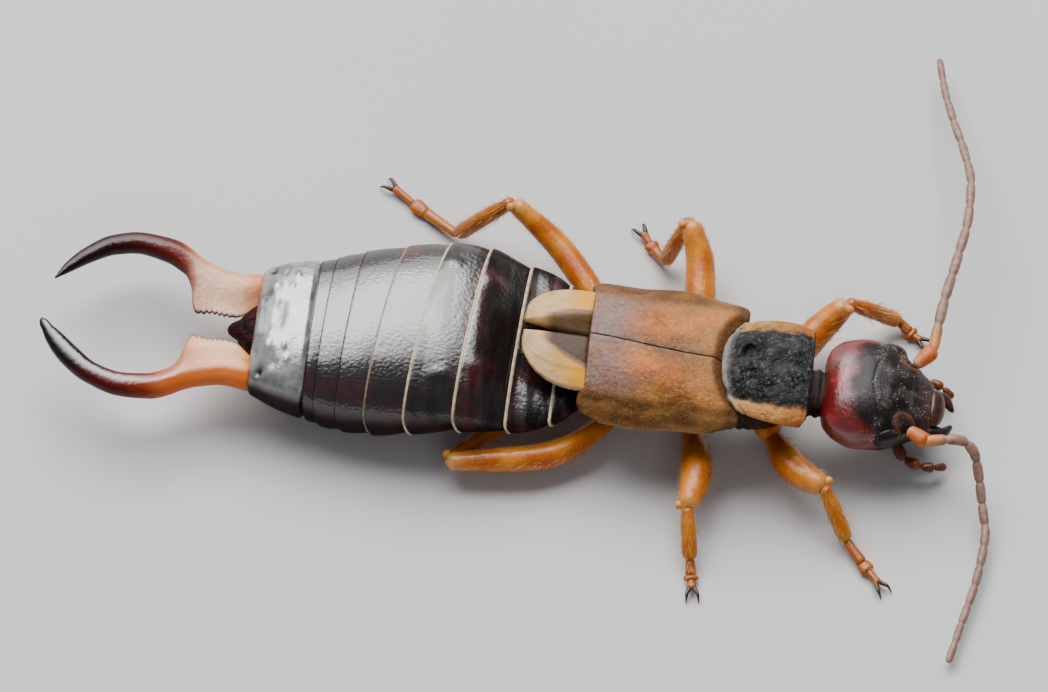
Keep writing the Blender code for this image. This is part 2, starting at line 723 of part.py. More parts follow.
def make_labrum(collection):
    rings = []
    for forward, share in ((0.0, 1.0), (0.55, 0.94), (0.85, 0.72), (1.0, 0.46)):
        x = HEAD_FRONT + GAP + forward * LABRUM_LENGTH
        top = LABRUM_TOP - LABRUM_SLOPE * forward
        bottom = top - LABRUM_THICKNESS * (0.5 + 0.5 * share)
        rings.append(ring(x, head_axis, LABRUM_HALF_WIDTH * share, top, bottom, 2.6, 14))
    return finish_object("labrum", loft(rings), collection, make_finish("head_red"))


def make_mandible(name, side, collection):
    points = []
    radii = []
    root, tip = MANDIBLE_ACROSS
    for step in range(5):
        share = step / 4
        x = HEAD_FRONT + GAP + 0.45 * MANDIBLE_RADIUS + MANDIBLE_LENGTH * share
        across = root + (tip - root) * share ** 2
        points.append(Vector((x, head_axis(x) + side * across, MANDIBLE_HEIGHT - 0.04 * share)))
        radii.append(MANDIBLE_RADIUS * (1.0 - 0.65 * share ** 2))
    item = tube(points, radii, 2, collection)
    item.name = name
    item.data.materials.append(make_finish("mouth_brown"))
    item.data.shade_smooth()
    return item


def make_palp(name, side, collection):
    """Jointed feeler of the mouth, bent out, forwards and down from under the cheek."""
    root_x, root_across = PALP_ROOT
    underside = through(HEAD_BOTTOMS, root_x) - 0.06
    points = [Vector((root_x, head_axis(root_x) + side * root_across, underside - GAP - 0.5 * PALP_RADIUS))]
    for x, across, z in PALP_BENDS:
        points.append(Vector((x, head_axis(x) + side * across, z)))
    path = smooth_path(points, PALP_STEPS)
    radii = []
    for step in range(PALP_STEPS + 1):
        radii.append(PALP_RADIUS + (PALP_TIP_RADIUS - PALP_RADIUS) * step / PALP_STEPS)
    item = tube(path, radii, 1, collection)
    item.name = name
    item.data.materials.append(make_finish("leg_amber"))
    item.data.shade_smooth()
    return item


def make_labium(collection):
    """Lower lip under the head, with its two short palps."""
    centre, height = LIP_CENTRE
    mesh = bmesh.new()
    bmesh.ops.create_uvsphere(mesh, u_segments=14, v_segments=8, radius=1.0)
    place = Matrix.Translation((centre, head_axis(centre), height)) @ Matrix.Diagonal((*LIP_RADII, 1.0))
    bmesh.ops.transform(mesh, matrix=place, verts=mesh.verts)
    pieces = [finish_object("lip", mesh, collection, make_finish("mouth_brown"))]
    for side in (1, -1):
        points = []
        for x, across, z in LIP_PALP:
            points.append(Vector((x, head_axis(x) + side * across, z)))
        pieces.append(tube(points, LIP_PALP_RADII, 1, collection))
    return fuse("labium", pieces, collection, make_finish("mouth_brown"))


def coxa(x, y, collection, finish):
    mesh = bmesh.new()
    height = COXA_TOP - COXA_BOTTOM
    bmesh.ops.create_cone(
        mesh, cap_ends=True, segments=12, radius1=COXA_BOTTOM_RADIUS, radius2=COXA_TOP_RADIUS, depth=height,
    )
    bmesh.ops.translate(mesh, vec=(x, y, 0.5 * (COXA_TOP + COXA_BOTTOM)), verts=mesh.verts)
    return finish_object("coxa", mesh, collection, finish)


def make_claws(toe, way, collection):
    """Two curved claws at the end of a foot."""
    claws = []
    aside = Vector((-way.y, way.x, 0.0))
    for side in (1, -1):
        spread = aside * side * CLAW_SPREAD
        root = toe - way * CLAW_DROP + spread * 0.3
        bend = toe + way * 0.6 * CLAW_LENGTH + spread * 0.9
        tip = toe + way * CLAW_LENGTH + spread - Vector((0, 0, CLAW_DROP))
        radii = [CLAW_RADIUS * share for share in (1.0, 0.8, 0.4)]
        claws.append(tube([root, bend, tip], radii, 1, collection))
    return claws


def make_leg(name, collection):
    (hip_x, hip_across), thigh, knee, ankle, toe = LEGS[name]
    finish = make_finish("leg_amber")
    hip_y = middle(hip_x) + hip_across
    hip = Vector((hip_x, hip_y, FEMUR_START))
    knee = Vector(knee)
    ankle = Vector((*ankle, ANKLE_HEIGHT))
    toe = Vector((*toe, TARSUS_HEIGHT))
    femur = smooth_path([hip, Vector(thigh), knee], len(FEMUR_RADII) - 1)
    shin = [knee.lerp(ankle, share) for share in (0.0, 0.12, 0.5, 0.88, 1.0)]
    shin_radii = (TIBIA_END_RADIUS, TIBIA_RADIUS, TIBIA_RADIUS, TIBIA_RADIUS, TIBIA_END_RADIUS)
    pieces = [
        coxa(hip_x, hip_y, collection, finish),
        tube(femur, FEMUR_RADII, 3, collection),
        tube(shin, shin_radii, 2, collection),
    ]
    way = toe - ankle
    start = ankle
    done = 0.0
    for share, (thin, wide) in zip(TARSUS_SHARES, TARSUS_RADII):
        done += share
        end = ankle + way * done
        end.z = TARSUS_HEIGHT
        radii = (thin, 0.5 * (thin + wide), wide)
        pieces.append(tube([start, start.lerp(end, 0.6), end], radii, 2, collection))
        start = end
    level = Vector((way.x, way.y, 0.0)).normalized()
    pieces += make_claws(toe + level * CLAW_REACH, level, collection)
    return fuse(name, pieces, collection, finish, flat=True)


def centre_on_floor(items):
    """Shift that brings the middle of the items' common box over the origin."""
    bpy.context.view_layer.update()
    graph = bpy.context.evaluated_depsgraph_get()
    corners = []
    for item in items:
        corners += [item.matrix_world @ Vector(corner) for corner in item.evaluated_get(graph).bound_box]
    low = [min(corner[axis] for corner in corners) for axis in range(2)]
    high = [max(corner[axis] for corner in corners) for axis in range(2)]
    return Matrix.Translation((-(low[0] + high[0]) / 2, -(low[1] + high[1]) / 2, 0.0))


def main():
    clear_scene()
    parts = make_collection("earwig")
    cutters = make_collection("cutters")
    make_thorax(parts)
    make_neck(parts)
    make_abdomen(parts)
    make_last_segment(parts)
    make_pygidium(parts)
    make_pronotum(parts)
    make_head(parts, cutters)
    make_labrum(parts)
    make_labium(parts)
    for side_name, side in (("left", 1), ("right", -1)):
        make_forceps("forceps_" + side_name, side, parts)
        make_elytron("elytron_" + side_name, side, parts)
        make_wing_tip("wing_tip_" + side_name, side, WING_INNER[side_name], parts)
        eyeball("eye_" + side_name, side, 0.0, parts, make_finish("eye_black"))
        make_antenna("antenna_" + side_name, side_name, side, parts)
        make_mandible("mandible_" + side_name, side, parts)
        make_palp("palp_" + side_name, side, parts)
    for name in LEGS:
        make_leg(name, parts)
    shift = centre_on_floor(list(parts.objects))
    for item in list(parts.objects) + list(cutters.objects):
        item.data.transform(shift)


main()
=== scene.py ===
# %% [markdown]
# # A still, life-size male earwig
# This lesson dresses a fixed block model of an earwig with its real looks: a long, flexible,
# armoured body, leathery wing cases, and a pair of curved forceps at the rear.
# The block model comes first, because every piece below is placed by it and keeps its size.

# %% Load the fixed model
import math

import bmesh
import bpy
import numpy as np
from mathutils import Matrix, Vector


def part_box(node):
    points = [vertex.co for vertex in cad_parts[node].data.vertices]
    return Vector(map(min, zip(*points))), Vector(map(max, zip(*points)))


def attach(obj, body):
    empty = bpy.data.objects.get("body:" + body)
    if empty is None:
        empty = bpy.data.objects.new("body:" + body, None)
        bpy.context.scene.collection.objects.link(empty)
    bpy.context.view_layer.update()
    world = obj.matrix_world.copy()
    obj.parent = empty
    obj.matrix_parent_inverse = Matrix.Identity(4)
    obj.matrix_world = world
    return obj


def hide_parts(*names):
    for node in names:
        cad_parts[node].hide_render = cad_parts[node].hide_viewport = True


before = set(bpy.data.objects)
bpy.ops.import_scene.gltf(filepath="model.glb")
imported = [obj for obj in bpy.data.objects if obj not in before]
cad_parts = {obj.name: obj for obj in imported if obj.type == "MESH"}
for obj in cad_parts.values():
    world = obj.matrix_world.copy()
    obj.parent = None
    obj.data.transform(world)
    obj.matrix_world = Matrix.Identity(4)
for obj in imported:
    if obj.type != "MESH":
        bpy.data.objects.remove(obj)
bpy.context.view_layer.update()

# %% [markdown]
# ## Units and the animal's own axes
# The sizes below are in millimetres along the animal: +X runs to the head, +Y to its left
# side, and Z is the height over the floor. The block model is centred over the origin, so one
# shift, read from the eyes, brings every mesh into the same place.

# %% Millimetres and the shift to the model's frame
MM = 0.001
EYE_X = 6.80
EYE_HEIGHT = 1.40
HEAD_AXIS = ((5.60, -0.20), (7.90, -0.28))
MIDLINE = ((-8.90, -0.06), (-4.95, -0.20), (-1.00, 0.06), (1.20, -0.04), (3.70, -0.28), (5.40, -0.26))


def profile(stations):
    """Smooth curve through (place, value) stations that never overshoots them."""
    places, values = np.array(stations, float).T
    widths = np.diff(places)
    steps = np.diff(values) / widths
    slopes = np.concatenate((steps[:1], np.zeros(len(steps) - 1), steps[-1:]))
    for i in range(1, len(steps)):
        if steps[i - 1] * steps[i] > 0.0:
            slopes[i] = 2.0 * steps[i - 1] * steps[i] / (steps[i - 1] + steps[i])

    def value(x):
        x = np.clip(np.asarray(x, float), places[0], places[-1])
        i = np.clip(np.searchsorted(places, x, side="right") - 1, 0, len(widths) - 1)
        t = (x - places[i]) / widths[i]
        base = values[i] * (1 + 2 * t) * (1 - t) ** 2 + values[i + 1] * t * t * (3 - 2 * t)
        return base + widths[i] * (slopes[i] * t * (1 - t) ** 2 - slopes[i + 1] * t * t * (1 - t))
    return value


middle = profile(MIDLINE)
head_axis = profile(HEAD_AXIS)
eye_boxes = [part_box("eye_left"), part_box("eye_right")]
eye_middle = sum((low + high for low, high in eye_boxes), Vector()) / (4 * MM)
SHIFT = np.array((eye_middle.x - EYE_X, eye_middle.y - float(head_axis(EYE_X)), 0.0))
print("shift in mm:", SHIFT.round(3))

# %% [markdown]
# ## The camera
# The photograph looks down on the animal from its right side, a little from the head, through a
# long lens. The camera is placed first, by its two angles, its distance and the size that one
# pixel of the 1048 by 692 picture covers at the height of the back.

# %% Camera
PICTURE_WIDTH = 1048
PIXEL_SIZE = 0.0185
ELEVATION = math.radians(62.0)
TURN = math.radians(6.8)
DISTANCE = 160.0
AIM_HEIGHT = 1.4
SENSOR = 36.0

towards = Vector((
    math.cos(ELEVATION) * math.sin(TURN), -math.cos(ELEVATION) * math.cos(TURN), math.sin(ELEVATION),
))
rightward = Vector((math.cos(TURN), math.sin(TURN), 0.0))
upward = towards.cross(rightward)
camera_data = bpy.data.cameras.new("camera")
camera_data.sensor_width = SENSOR
camera_data.lens = SENSOR * DISTANCE / (PIXEL_SIZE * PICTURE_WIDTH)
camera_data.clip_start = 0.001
camera_data.clip_end = 10.0
camera = bpy.data.objects.new("camera", camera_data)
bpy.context.scene.collection.objects.link(camera)
place = (Vector((0.0, 0.0, AIM_HEIGHT)) + towards * DISTANCE + Vector(SHIFT)) * MM
turned = Matrix((rightward, upward, towards)).transposed().to_4x4()
camera.matrix_world = Matrix.Translation(place) @ turned
bpy.context.scene.camera = camera
print("lens:", round(camera_data.lens), "mm")

# %% [markdown]
# ## Shells made from rings and plates
# An insect wears its skeleton outside, so most pieces are closed shells. A limb or a body
# segment is a stack of rings, and a wing case is a curved plate with a rounded edge. Each
# shell can carry marks: one number at every point, such as how near it is to a pale rim.
# The finishes read these marks later, so that colour follows the shape.

# %% Shell helpers


def step_between(value, start, end):
    """Smooth step from 0 at start to 1 at end."""
    t = np.clip((np.asarray(value, float) - start) / (end - start), 0.0, 1.0)
    return t * t * (3.0 - 2.0 * t)


def hump(value, centre, spread):
    return np.exp(-((np.asarray(value, float) - centre) / spread) ** 2)


def signed_power(value, power):
    return np.sign(value) * np.abs(value) ** power


def ring_angles(count):
    return 2.0 * math.pi * np.arange(count) / count


def ring_shares(columns, across_power, up_power=None):
    """Sideways and upward share of each point of a ring; the powers square the ring off."""
    angle = ring_angles(columns)
    if up_power is None:
        up_power = across_power
    return signed_power(np.cos(angle), across_power), signed_power(np.sin(angle), up_power)


def as_arrays(grid, marks):
    return np.array(grid), {name: np.array(values) for name, values in marks.items()}


SIDES = (("left", 1), ("right", -1))


def ring_shell(points, marks=None):
    """Closed shell over rows of rings, with a centre point closing each end."""
    rows, columns = points.shape[:2]
    flat = points.reshape(-1, 3)
    index = np.arange(rows * columns).reshape(rows, columns)
    following = np.roll(index, -1, axis=1)
    quads = np.stack((index[:-1], following[:-1], following[1:], index[1:]), axis=-1).reshape(-1, 4)
    first, last = rows * columns, rows * columns + 1
    faces = quads.tolist()
    faces += [(first, int(b), int(a)) for a, b in zip(index[0], following[0])]
    faces += [(last, int(a), int(b)) for a, b in zip(index[-1], following[-1])]
    ends = np.stack((points[0].mean(axis=0), points[-1].mean(axis=0)))
    shell = {"points": np.concatenate((flat, ends)), "faces": faces, "marks": {}}
    for name, values in (marks or {}).items():
        values = np.broadcast_to(values, (rows, columns))
        tail = (values[0].mean(), values[-1].mean())
        shell["marks"][name] = np.concatenate((values.reshape(-1), tail))
    return shell


def even_edges(count):
    """Steps from 0 to 1 that crowd towards both ends, where an edge is rounded."""
    return 0.5 - 0.5 * np.cos(np.linspace(0.0, math.pi, count))


NORMAL_INSET = (0.10, 0.04)
NORMAL_STEP = 0.01


def plate_shell(place, size, thickness, counts, marks=None, taper=(1.0, 1.0)):
    """Closed curved plate: place(u, v) gives its top, and taper rounds its u and v edges."""
    u, v = np.meshgrid(even_edges(counts[0]), even_edges(counts[1]), indexing="ij")
    inner_u = np.clip(u, NORMAL_INSET[0], 1.0 - NORMAL_INSET[0])
    inner_v = np.clip(v, NORMAL_INSET[1], 1.0 - NORMAL_INSET[1])
    along = place(inner_u + NORMAL_STEP, inner_v) - place(inner_u - NORMAL_STEP, inner_v)
    across = place(inner_u, inner_v + NORMAL_STEP) - place(inner_u, inner_v - NORMAL_STEP)
    normal = np.cross(along, across)
    normal /= np.linalg.norm(normal, axis=2, keepdims=True)
    normal *= np.sign(normal[..., 2:3])
    near_u = np.minimum(u, 1.0 - u) * size[0] / (0.5 * thickness * taper[0])
    near_v = np.minimum(v, 1.0 - v) * size[1] / (0.5 * thickness * taper[1])
    share = np.clip(np.minimum(near_u, near_v), 0.0, 1.0)
    half = (0.5 * thickness * np.sqrt(1.0 - (1.0 - share) ** 2))[..., None]
    centre = place(u, v) - normal * 0.5 * thickness
    rows, columns = u.shape
    index = np.arange(rows * columns).reshape(rows, columns)
    quads = np.stack((index[:-1, :-1], index[:-1, 1:], index[1:, 1:], index[1:, :-1]), axis=-1)
    quads = quads.reshape(-1, 4)
    faces = quads.tolist() + (quads[:, ::-1] + rows * columns).tolist()
    top, underside = centre + normal * half, centre - normal * half
    points = np.concatenate((top.reshape(-1, 3), underside.reshape(-1, 3)))
    shell = {"points": points, "faces": faces, "marks": {"under": np.repeat((0.0, 1.0), rows * columns)}}
    for name, rule in (marks or {}).items():
        values = np.broadcast_to(rule(u, v), u.shape).reshape(-1)
        shell["marks"][name] = np.concatenate((values, values))
    return shell


def join_shells(shells):
    """One set of points, faces and marks from several shells."""
    names = sorted({name for shell in shells for name in shell["marks"]})
    joined = {"points": np.concatenate([shell["points"] for shell in shells]), "faces": [], "marks": {}}
    start = 0
    for shell in shells:
        joined["faces"] += [[int(i) + start for i in face] for face in shell["faces"]]
        start += len(shell["points"])
    for name in names:
        parts = [shell["marks"].get(name, np.zeros(len(shell["points"]))) for shell in shells]
        joined["marks"][name] = np.concatenate(parts)
    return joined


made = {}
MERGE_DISTANCE = 2e-8


def keep_piece(name, mesh, nodes):
    """Named object that rides on the model and takes the place of some of its nodes."""
    piece = bpy.data.objects.new(name, mesh)
    bpy.context.scene.collection.objects.link(piece)
    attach(piece, "root")
    if nodes:
        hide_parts(*nodes)
    made[name] = piece
    print(name, len(mesh.polygons), "faces")
    return piece


def make_piece(name, shell, finish, slot, *nodes):
    """Piece from a shell in millimetres, with its marks."""
    mesh = bpy.data.meshes.new(name)
    mesh.from_pydata(((shell["points"] + SHIFT) * MM).tolist(), [], shell["faces"])
    for mark, values in shell["marks"].items():
        layer = mesh.attributes.new(mark, "FLOAT", "POINT")
        layer.data.foreach_set("value", np.asarray(values, dtype=np.float32))
    work = bmesh.new()
    work.from_mesh(mesh)
    bmesh.ops.remove_doubles(work, verts=work.verts, dist=MERGE_DISTANCE)
    bmesh.ops.recalc_face_normals(work, faces=work.faces)
    work.to_mesh(mesh)
    work.free()
    mesh.shade_smooth()
    mesh.materials.append(finish)
    return keep_piece(name, mesh, nodes)


# %% [markdown]
# ## Building blocks for the finishes
# A real cuticle is never one flat colour. Three small shader groups give what several of the
# finishes share: fine pits or grains, soft cloudy patches, and scattered specks, which are dust
# on the head, painted glints on the neck shield and, in part, painted glints on the wing cases.
# They read the object's own coordinates, so the pattern stays put whatever the camera does.

# %% Shader helpers


def add_node(tree, kind, **settings):
    node = tree.nodes.new(kind)
    for name, value in settings.items():
        setattr(node, name, value)
    return node


def feed(tree, socket, value):
    """Link a socket, or set it where the value is a number or a colour."""
    if isinstance(value, bpy.types.NodeSocket):
        tree.links.new(value, socket)
    else:
        socket.default_value = value


def calculate(tree, operation, *values):
    node = add_node(tree, "ShaderNodeMath", operation=operation)
    for socket, value in zip(node.inputs, values):
        feed(tree, socket, value)
    return node.outputs[0]


def times(tree, first, second):
    """Product of two sockets or numbers."""
    return calculate(tree, "MULTIPLY", first, second)


def blend(tree, factor, first, second):
    """Colour between first and second."""
    node = add_node(tree, "ShaderNodeMix", data_type="RGBA")
    for socket, value in zip((node.inputs[0], node.inputs[6], node.inputs[7]), (factor, first, second)):
        if isinstance(value, tuple):
            value = (*value, 1.0)
        feed(tree, socket, value)
    return node.outputs[2]


def tint(tree, body, colour, mask, share=1.0):
    """Lay a colour over the body through a mask, at most up to the given share."""
    return blend(tree, mask if share == 1.0 else times(tree, mask, share), body, colour)


def blend_value(tree, factor, first, second):
    """Number between first and second."""
    node = add_node(tree, "ShaderNodeMix", data_type="FLOAT")
    for socket, value in zip((node.inputs[0], node.inputs[2], node.inputs[3]), (factor, first, second)):
        feed(tree, socket, value)
    return node.outputs[0]


def window(tree, value, start, end):
    """Smooth step from 0 at start to 1 at end."""
    node = add_node(tree, "ShaderNodeMapRange", interpolation_type="SMOOTHSTEP")
    feed(tree, node.inputs["Value"], value)
    node.inputs["From Min"].default_value = start
    node.inputs["From Max"].default_value = end
    return node.outputs["Result"]


def mark_value(tree, name):
    return add_node(tree, "ShaderNodeAttribute", attribute_name=name).outputs["Fac"]


def new_group(name, inputs, outputs):
    tree = bpy.data.node_groups.new(name, "ShaderNodeTree")
    for label, kind, value in inputs:
        socket = tree.interface.new_socket(name=label, in_out="INPUT", socket_type=kind)
        socket.default_value = value
    for label in outputs:
        tree.interface.new_socket(name=label, in_out="OUTPUT", socket_type="NodeSocketFloat")
    return tree, tree.nodes.new("NodeGroupInput"), tree.nodes.new("NodeGroupOutput")


def in_millimetres(tree, stretch):
    """Object coordinates in millimetres, multiplied by a stretch along each axis."""
    coordinates = add_node(tree, "ShaderNodeTexCoord").outputs["Object"]
    scaled = add_node(tree, "ShaderNodeVectorMath", operation="MULTIPLY")
    tree.links.new(coordinates, scaled.inputs[0])
    scaled.inputs[1].default_value = (1 / MM, 1 / MM, 1 / MM)
    shaped = add_node(tree, "ShaderNodeVectorMath", operation="MULTIPLY")
    tree.links.new(scaled.outputs[0], shaped.inputs[0])
    feed(tree, shaped.inputs[1], stretch)
    return shaped.outputs[0]


# %% Group: fine grain
grain_group, source, target = new_group(
    "fine_grain",
    (("Cells per mm", "NodeSocketVector", (20.0, 20.0, 20.0)), ("Roughening", "NodeSocketFloat", 0.4)),
    ("Height",),
)
where = in_millimetres(grain_group, source.outputs["Cells per mm"])
cells = add_node(grain_group, "ShaderNodeTexVoronoi", feature="SMOOTH_F1")
cells.inputs["Scale"].default_value = 1.0
grain_group.links.new(where, cells.inputs["Vector"])
rough = add_node(grain_group, "ShaderNodeTexNoise")
rough.inputs["Scale"].default_value = 2.2
rough.inputs["Detail"].default_value = 3.0
grain_group.links.new(where, rough.inputs["Vector"])
height = times(grain_group, rough.outputs["Fac"], source.outputs["Roughening"])
height = calculate(grain_group, "ADD", cells.outputs["Distance"], height)
grain_group.links.new(height, target.inputs["Height"])
print("group:", grain_group.name)

# %% Group: cloudy patches
patch_group, source, target = new_group(
    "cloudy_patches",
    (("Patches per mm", "NodeSocketVector", (2.0, 2.0, 2.0)), ("Low", "NodeSocketFloat", 0.4),
     ("High", "NodeSocketFloat", 0.6)),
    ("Mask",),
)
where = in_millimetres(patch_group, source.outputs["Patches per mm"])
cloud = add_node(patch_group, "ShaderNodeTexNoise")
cloud.inputs["Scale"].default_value = 1.0
cloud.inputs["Detail"].default_value = 4.0
patch_group.links.new(where, cloud.inputs["Vector"])
mapped = add_node(patch_group, "ShaderNodeMapRange", interpolation_type="SMOOTHSTEP")
patch_group.links.new(cloud.outputs["Fac"], mapped.inputs["Value"])
patch_group.links.new(source.outputs["Low"], mapped.inputs["From Min"])
patch_group.links.new(source.outputs["High"], mapped.inputs["From Max"])
patch_group.links.new(mapped.outputs["Result"], target.inputs["Mask"])
print("group:", patch_group.name)

# %% Group: specks of dust and painted glints
speck_group, source, target = new_group(
    "dust_and_glint_specks",
    (("Specks per mm", "NodeSocketVector", (22.0, 22.0, 22.0)), ("Share", "NodeSocketFloat", 0.3)),
    ("Mask",),
)
where = in_millimetres(speck_group, source.outputs["Specks per mm"])
dots = add_node(speck_group, "ShaderNodeTexVoronoi", feature="F1")
dots.inputs["Scale"].default_value = 1.0
speck_group.links.new(where, dots.inputs["Vector"])
near = calculate(speck_group, "LESS_THAN", dots.outputs["Distance"], 0.34)
parted = add_node(speck_group, "ShaderNodeSeparateColor")
speck_group.links.new(dots.outputs["Color"], parted.inputs[0])
chosen = calculate(speck_group, "LESS_THAN", parted.outputs[0], source.outputs["Share"])
speck_group.links.new(times(speck_group, near, chosen), target.inputs["Mask"])
print("group:", speck_group.name)


def use_group(tree, group, **settings):
    """Place a shared group in a material with its own values."""
    node = add_node(tree, "ShaderNodeGroup", node_tree=group)
    for name, value in settings.items():
        feed(tree, node.inputs[name.replace("_", " ")], value)
    return node


def patches(tree, per_mm, low=0.42, high=0.58):
    scale = per_mm if isinstance(per_mm, tuple) else (per_mm,) * 3
    return use_group(tree, patch_group, Patches_per_mm=scale, Low=low, High=high).outputs["Mask"]


def specks(tree, per_mm, share):
    return use_group(tree, speck_group, Specks_per_mm=(per_mm,) * 3, Share=share).outputs["Mask"]


def waver(tree, per_mm, width):
    """Clouds around zero that move a border to and fro by up to half the width."""
    return times(tree, calculate(tree, "SUBTRACT", patches(tree, per_mm, 0.2, 0.8), 0.5), width)


def grain(tree, per_mm, roughening=0.4):
    scale = per_mm if isinstance(per_mm, tuple) else (per_mm,) * 3
    return use_group(tree, grain_group, Cells_per_mm=scale, Roughening=roughening).outputs["Height"]


CUTICLE_IOR = 1.5
COAT_IOR = 2.1


def start_finish(name, roughness, ior=CUTICLE_IOR, level=0.5, coat_roughness=0.2):
    """Empty finish: returns the material, its tree and its shader."""
    material = bpy.data.materials.new(name)
    material.use_nodes = True
    tree = material.node_tree
    shader = tree.nodes["Principled BSDF"]
    shader.inputs["IOR"].default_value = ior
    shader.inputs["Specular IOR Level"].default_value = level
    shader.inputs["Coat IOR"].default_value = COAT_IOR
    shader.inputs["Coat Roughness"].default_value = coat_roughness
    feed(tree, shader.inputs["Roughness"], roughness)
    return material, tree, shader


def paint(tree, shader, colour):
    tree.links.new(colour, shader.inputs["Base Color"])


def coat(tree, shader, weight):
    """Hard clear layer; give it before the relief, which then shapes its gloss too."""
    feed(tree, shader.inputs["Coat Weight"], weight)


def add_bump(tree, shader, height, depth_mm):
    """Turn a height pattern into relief of the given depth."""
    bump = add_node(tree, "ShaderNodeBump")
    bump.inputs["Distance"].default_value = depth_mm * MM
    bump.inputs["Strength"].default_value = 1.0
    tree.links.new(height, bump.inputs["Height"])
    if shader.inputs["Normal"].is_linked:
        tree.links.new(shader.inputs["Normal"].links[0].from_socket, bump.inputs["Normal"])
    tree.links.new(bump.outputs["Normal"], shader.inputs["Normal"])
    if shader.inputs["Coat Weight"].is_linked:
        tree.links.new(bump.outputs["Normal"], shader.inputs["Coat Normal"])


# %% [markdown]
# ## The abdomen
# Behind the wings the body is a telescope of horny plates. Each one lies over the front of
# the next, with a thin rim, pale and broad at the front of the animal and hair-thin at the rear,
# where the rim is painted near black as the shade line under each step.
# The plates could be separate shells, but one closed skin whose rings step down behind each
# rim has no gaps and is lighter. The plate edges slant, because the live animal bends a little.

# %% Abdomen sizes
PLATE_EDGES = (0.65, -0.14, -1.02, -1.87, -2.62, -3.24, -3.69, -3.93)
ABDOMEN_FRONT = 1.52
abdomen_width = profile((
    (-3.93, 1.55), (-3.33, 1.74), (-2.68, 1.85), (-1.76, 1.92), (-1.02, 1.90), (-0.27, 1.79), (0.48, 1.62),
    (0.85, 1.38), (1.20, 1.00), (1.52, 0.70),
))
abdomen_top = profile((
    (-3.93, 2.07), (-2.50, 2.28), (-1.65, 2.30), (-0.85, 2.21), (-0.28, 1.78), (-0.02, 1.62), (1.52, 1.48),
))
abdomen_bottom = profile((
    (-3.93, 0.14), (-3.50, 0.02), (-3.30, 0.00), (-2.70, 0.00), (-2.45, 0.04), (-1.90, 0.25), (-1.20, 0.51),
    (-0.50, 0.70), (0.20, 0.86), (0.80, 0.98), (1.52, 1.00),
))
plate_slant = profile((
    (-3.93, 0.00), (-3.69, 0.03), (-3.24, 0.06), (-2.62, 0.12), (-1.87, 0.13), (-1.02, 0.09), (-0.14, 0.035),
    (0.65, 0.03), (1.52, 0.03),
))
ABDOMEN_POWER = 2.25
WAIST_SHARE = 0.45
SIDE_SEAM = -0.34
# One plate from front to rear: share of its length, rim widths forward, step depths down, rim mark
PLATE_ROWS = (
    (0.00, 1.2, 1.15, 0.0), (0.00, 0.0, 1.00, 0.0), (0.05, 0.0, 0.90, 0.0), (0.12, 0.0, 0.76, 0.0),
    (0.22, 0.0, 0.58, 0.0), (0.35, 0.0, 0.38, 0.0), (0.50, 0.0, 0.21, 0.0), (0.65, 0.0, 0.10, 0.0),
    (0.80, 0.0, 0.03, 0.0), (0.90, 0.0, 0.00, 0.0), (1.00, 1.5, 0.00, 0.0), (1.00, 1.2, 0.06, 0.0),
    (1.00, 1.0, 0.10, 0.5), (1.00, 0.8, 0.00, 1.0), (1.00, 0.3, -0.02, 1.0), (1.00, 0.08, 0.05, 1.0),
    (1.00, 0.0, 0.25, 1.0), (1.00, 0.1, 0.55, 0.7), (1.00, 0.7, 0.90, 0.1),
)
HOOKS = (0.12, 0.16, 0.18, 0.18, 0.17, 0.16, 0.15, 0.08)
SLANT_FLEX = 0.12
GLAND_HEIGHT = 0.055
# Pairs of scent glands: place along the body, distance from its middle, size
GLANDS = ((-0.62, 0.88, 0.15), (-1.46, 1.18, 0.12))
RIM_WIDTHS = (0.050, 0.050, 0.048, 0.044, 0.036, 0.026, 0.022, 0.020)
STEP_DEPTHS = (0.050, 0.060, 0.060, 0.050, 0.042, 0.034, 0.030, 0.026)


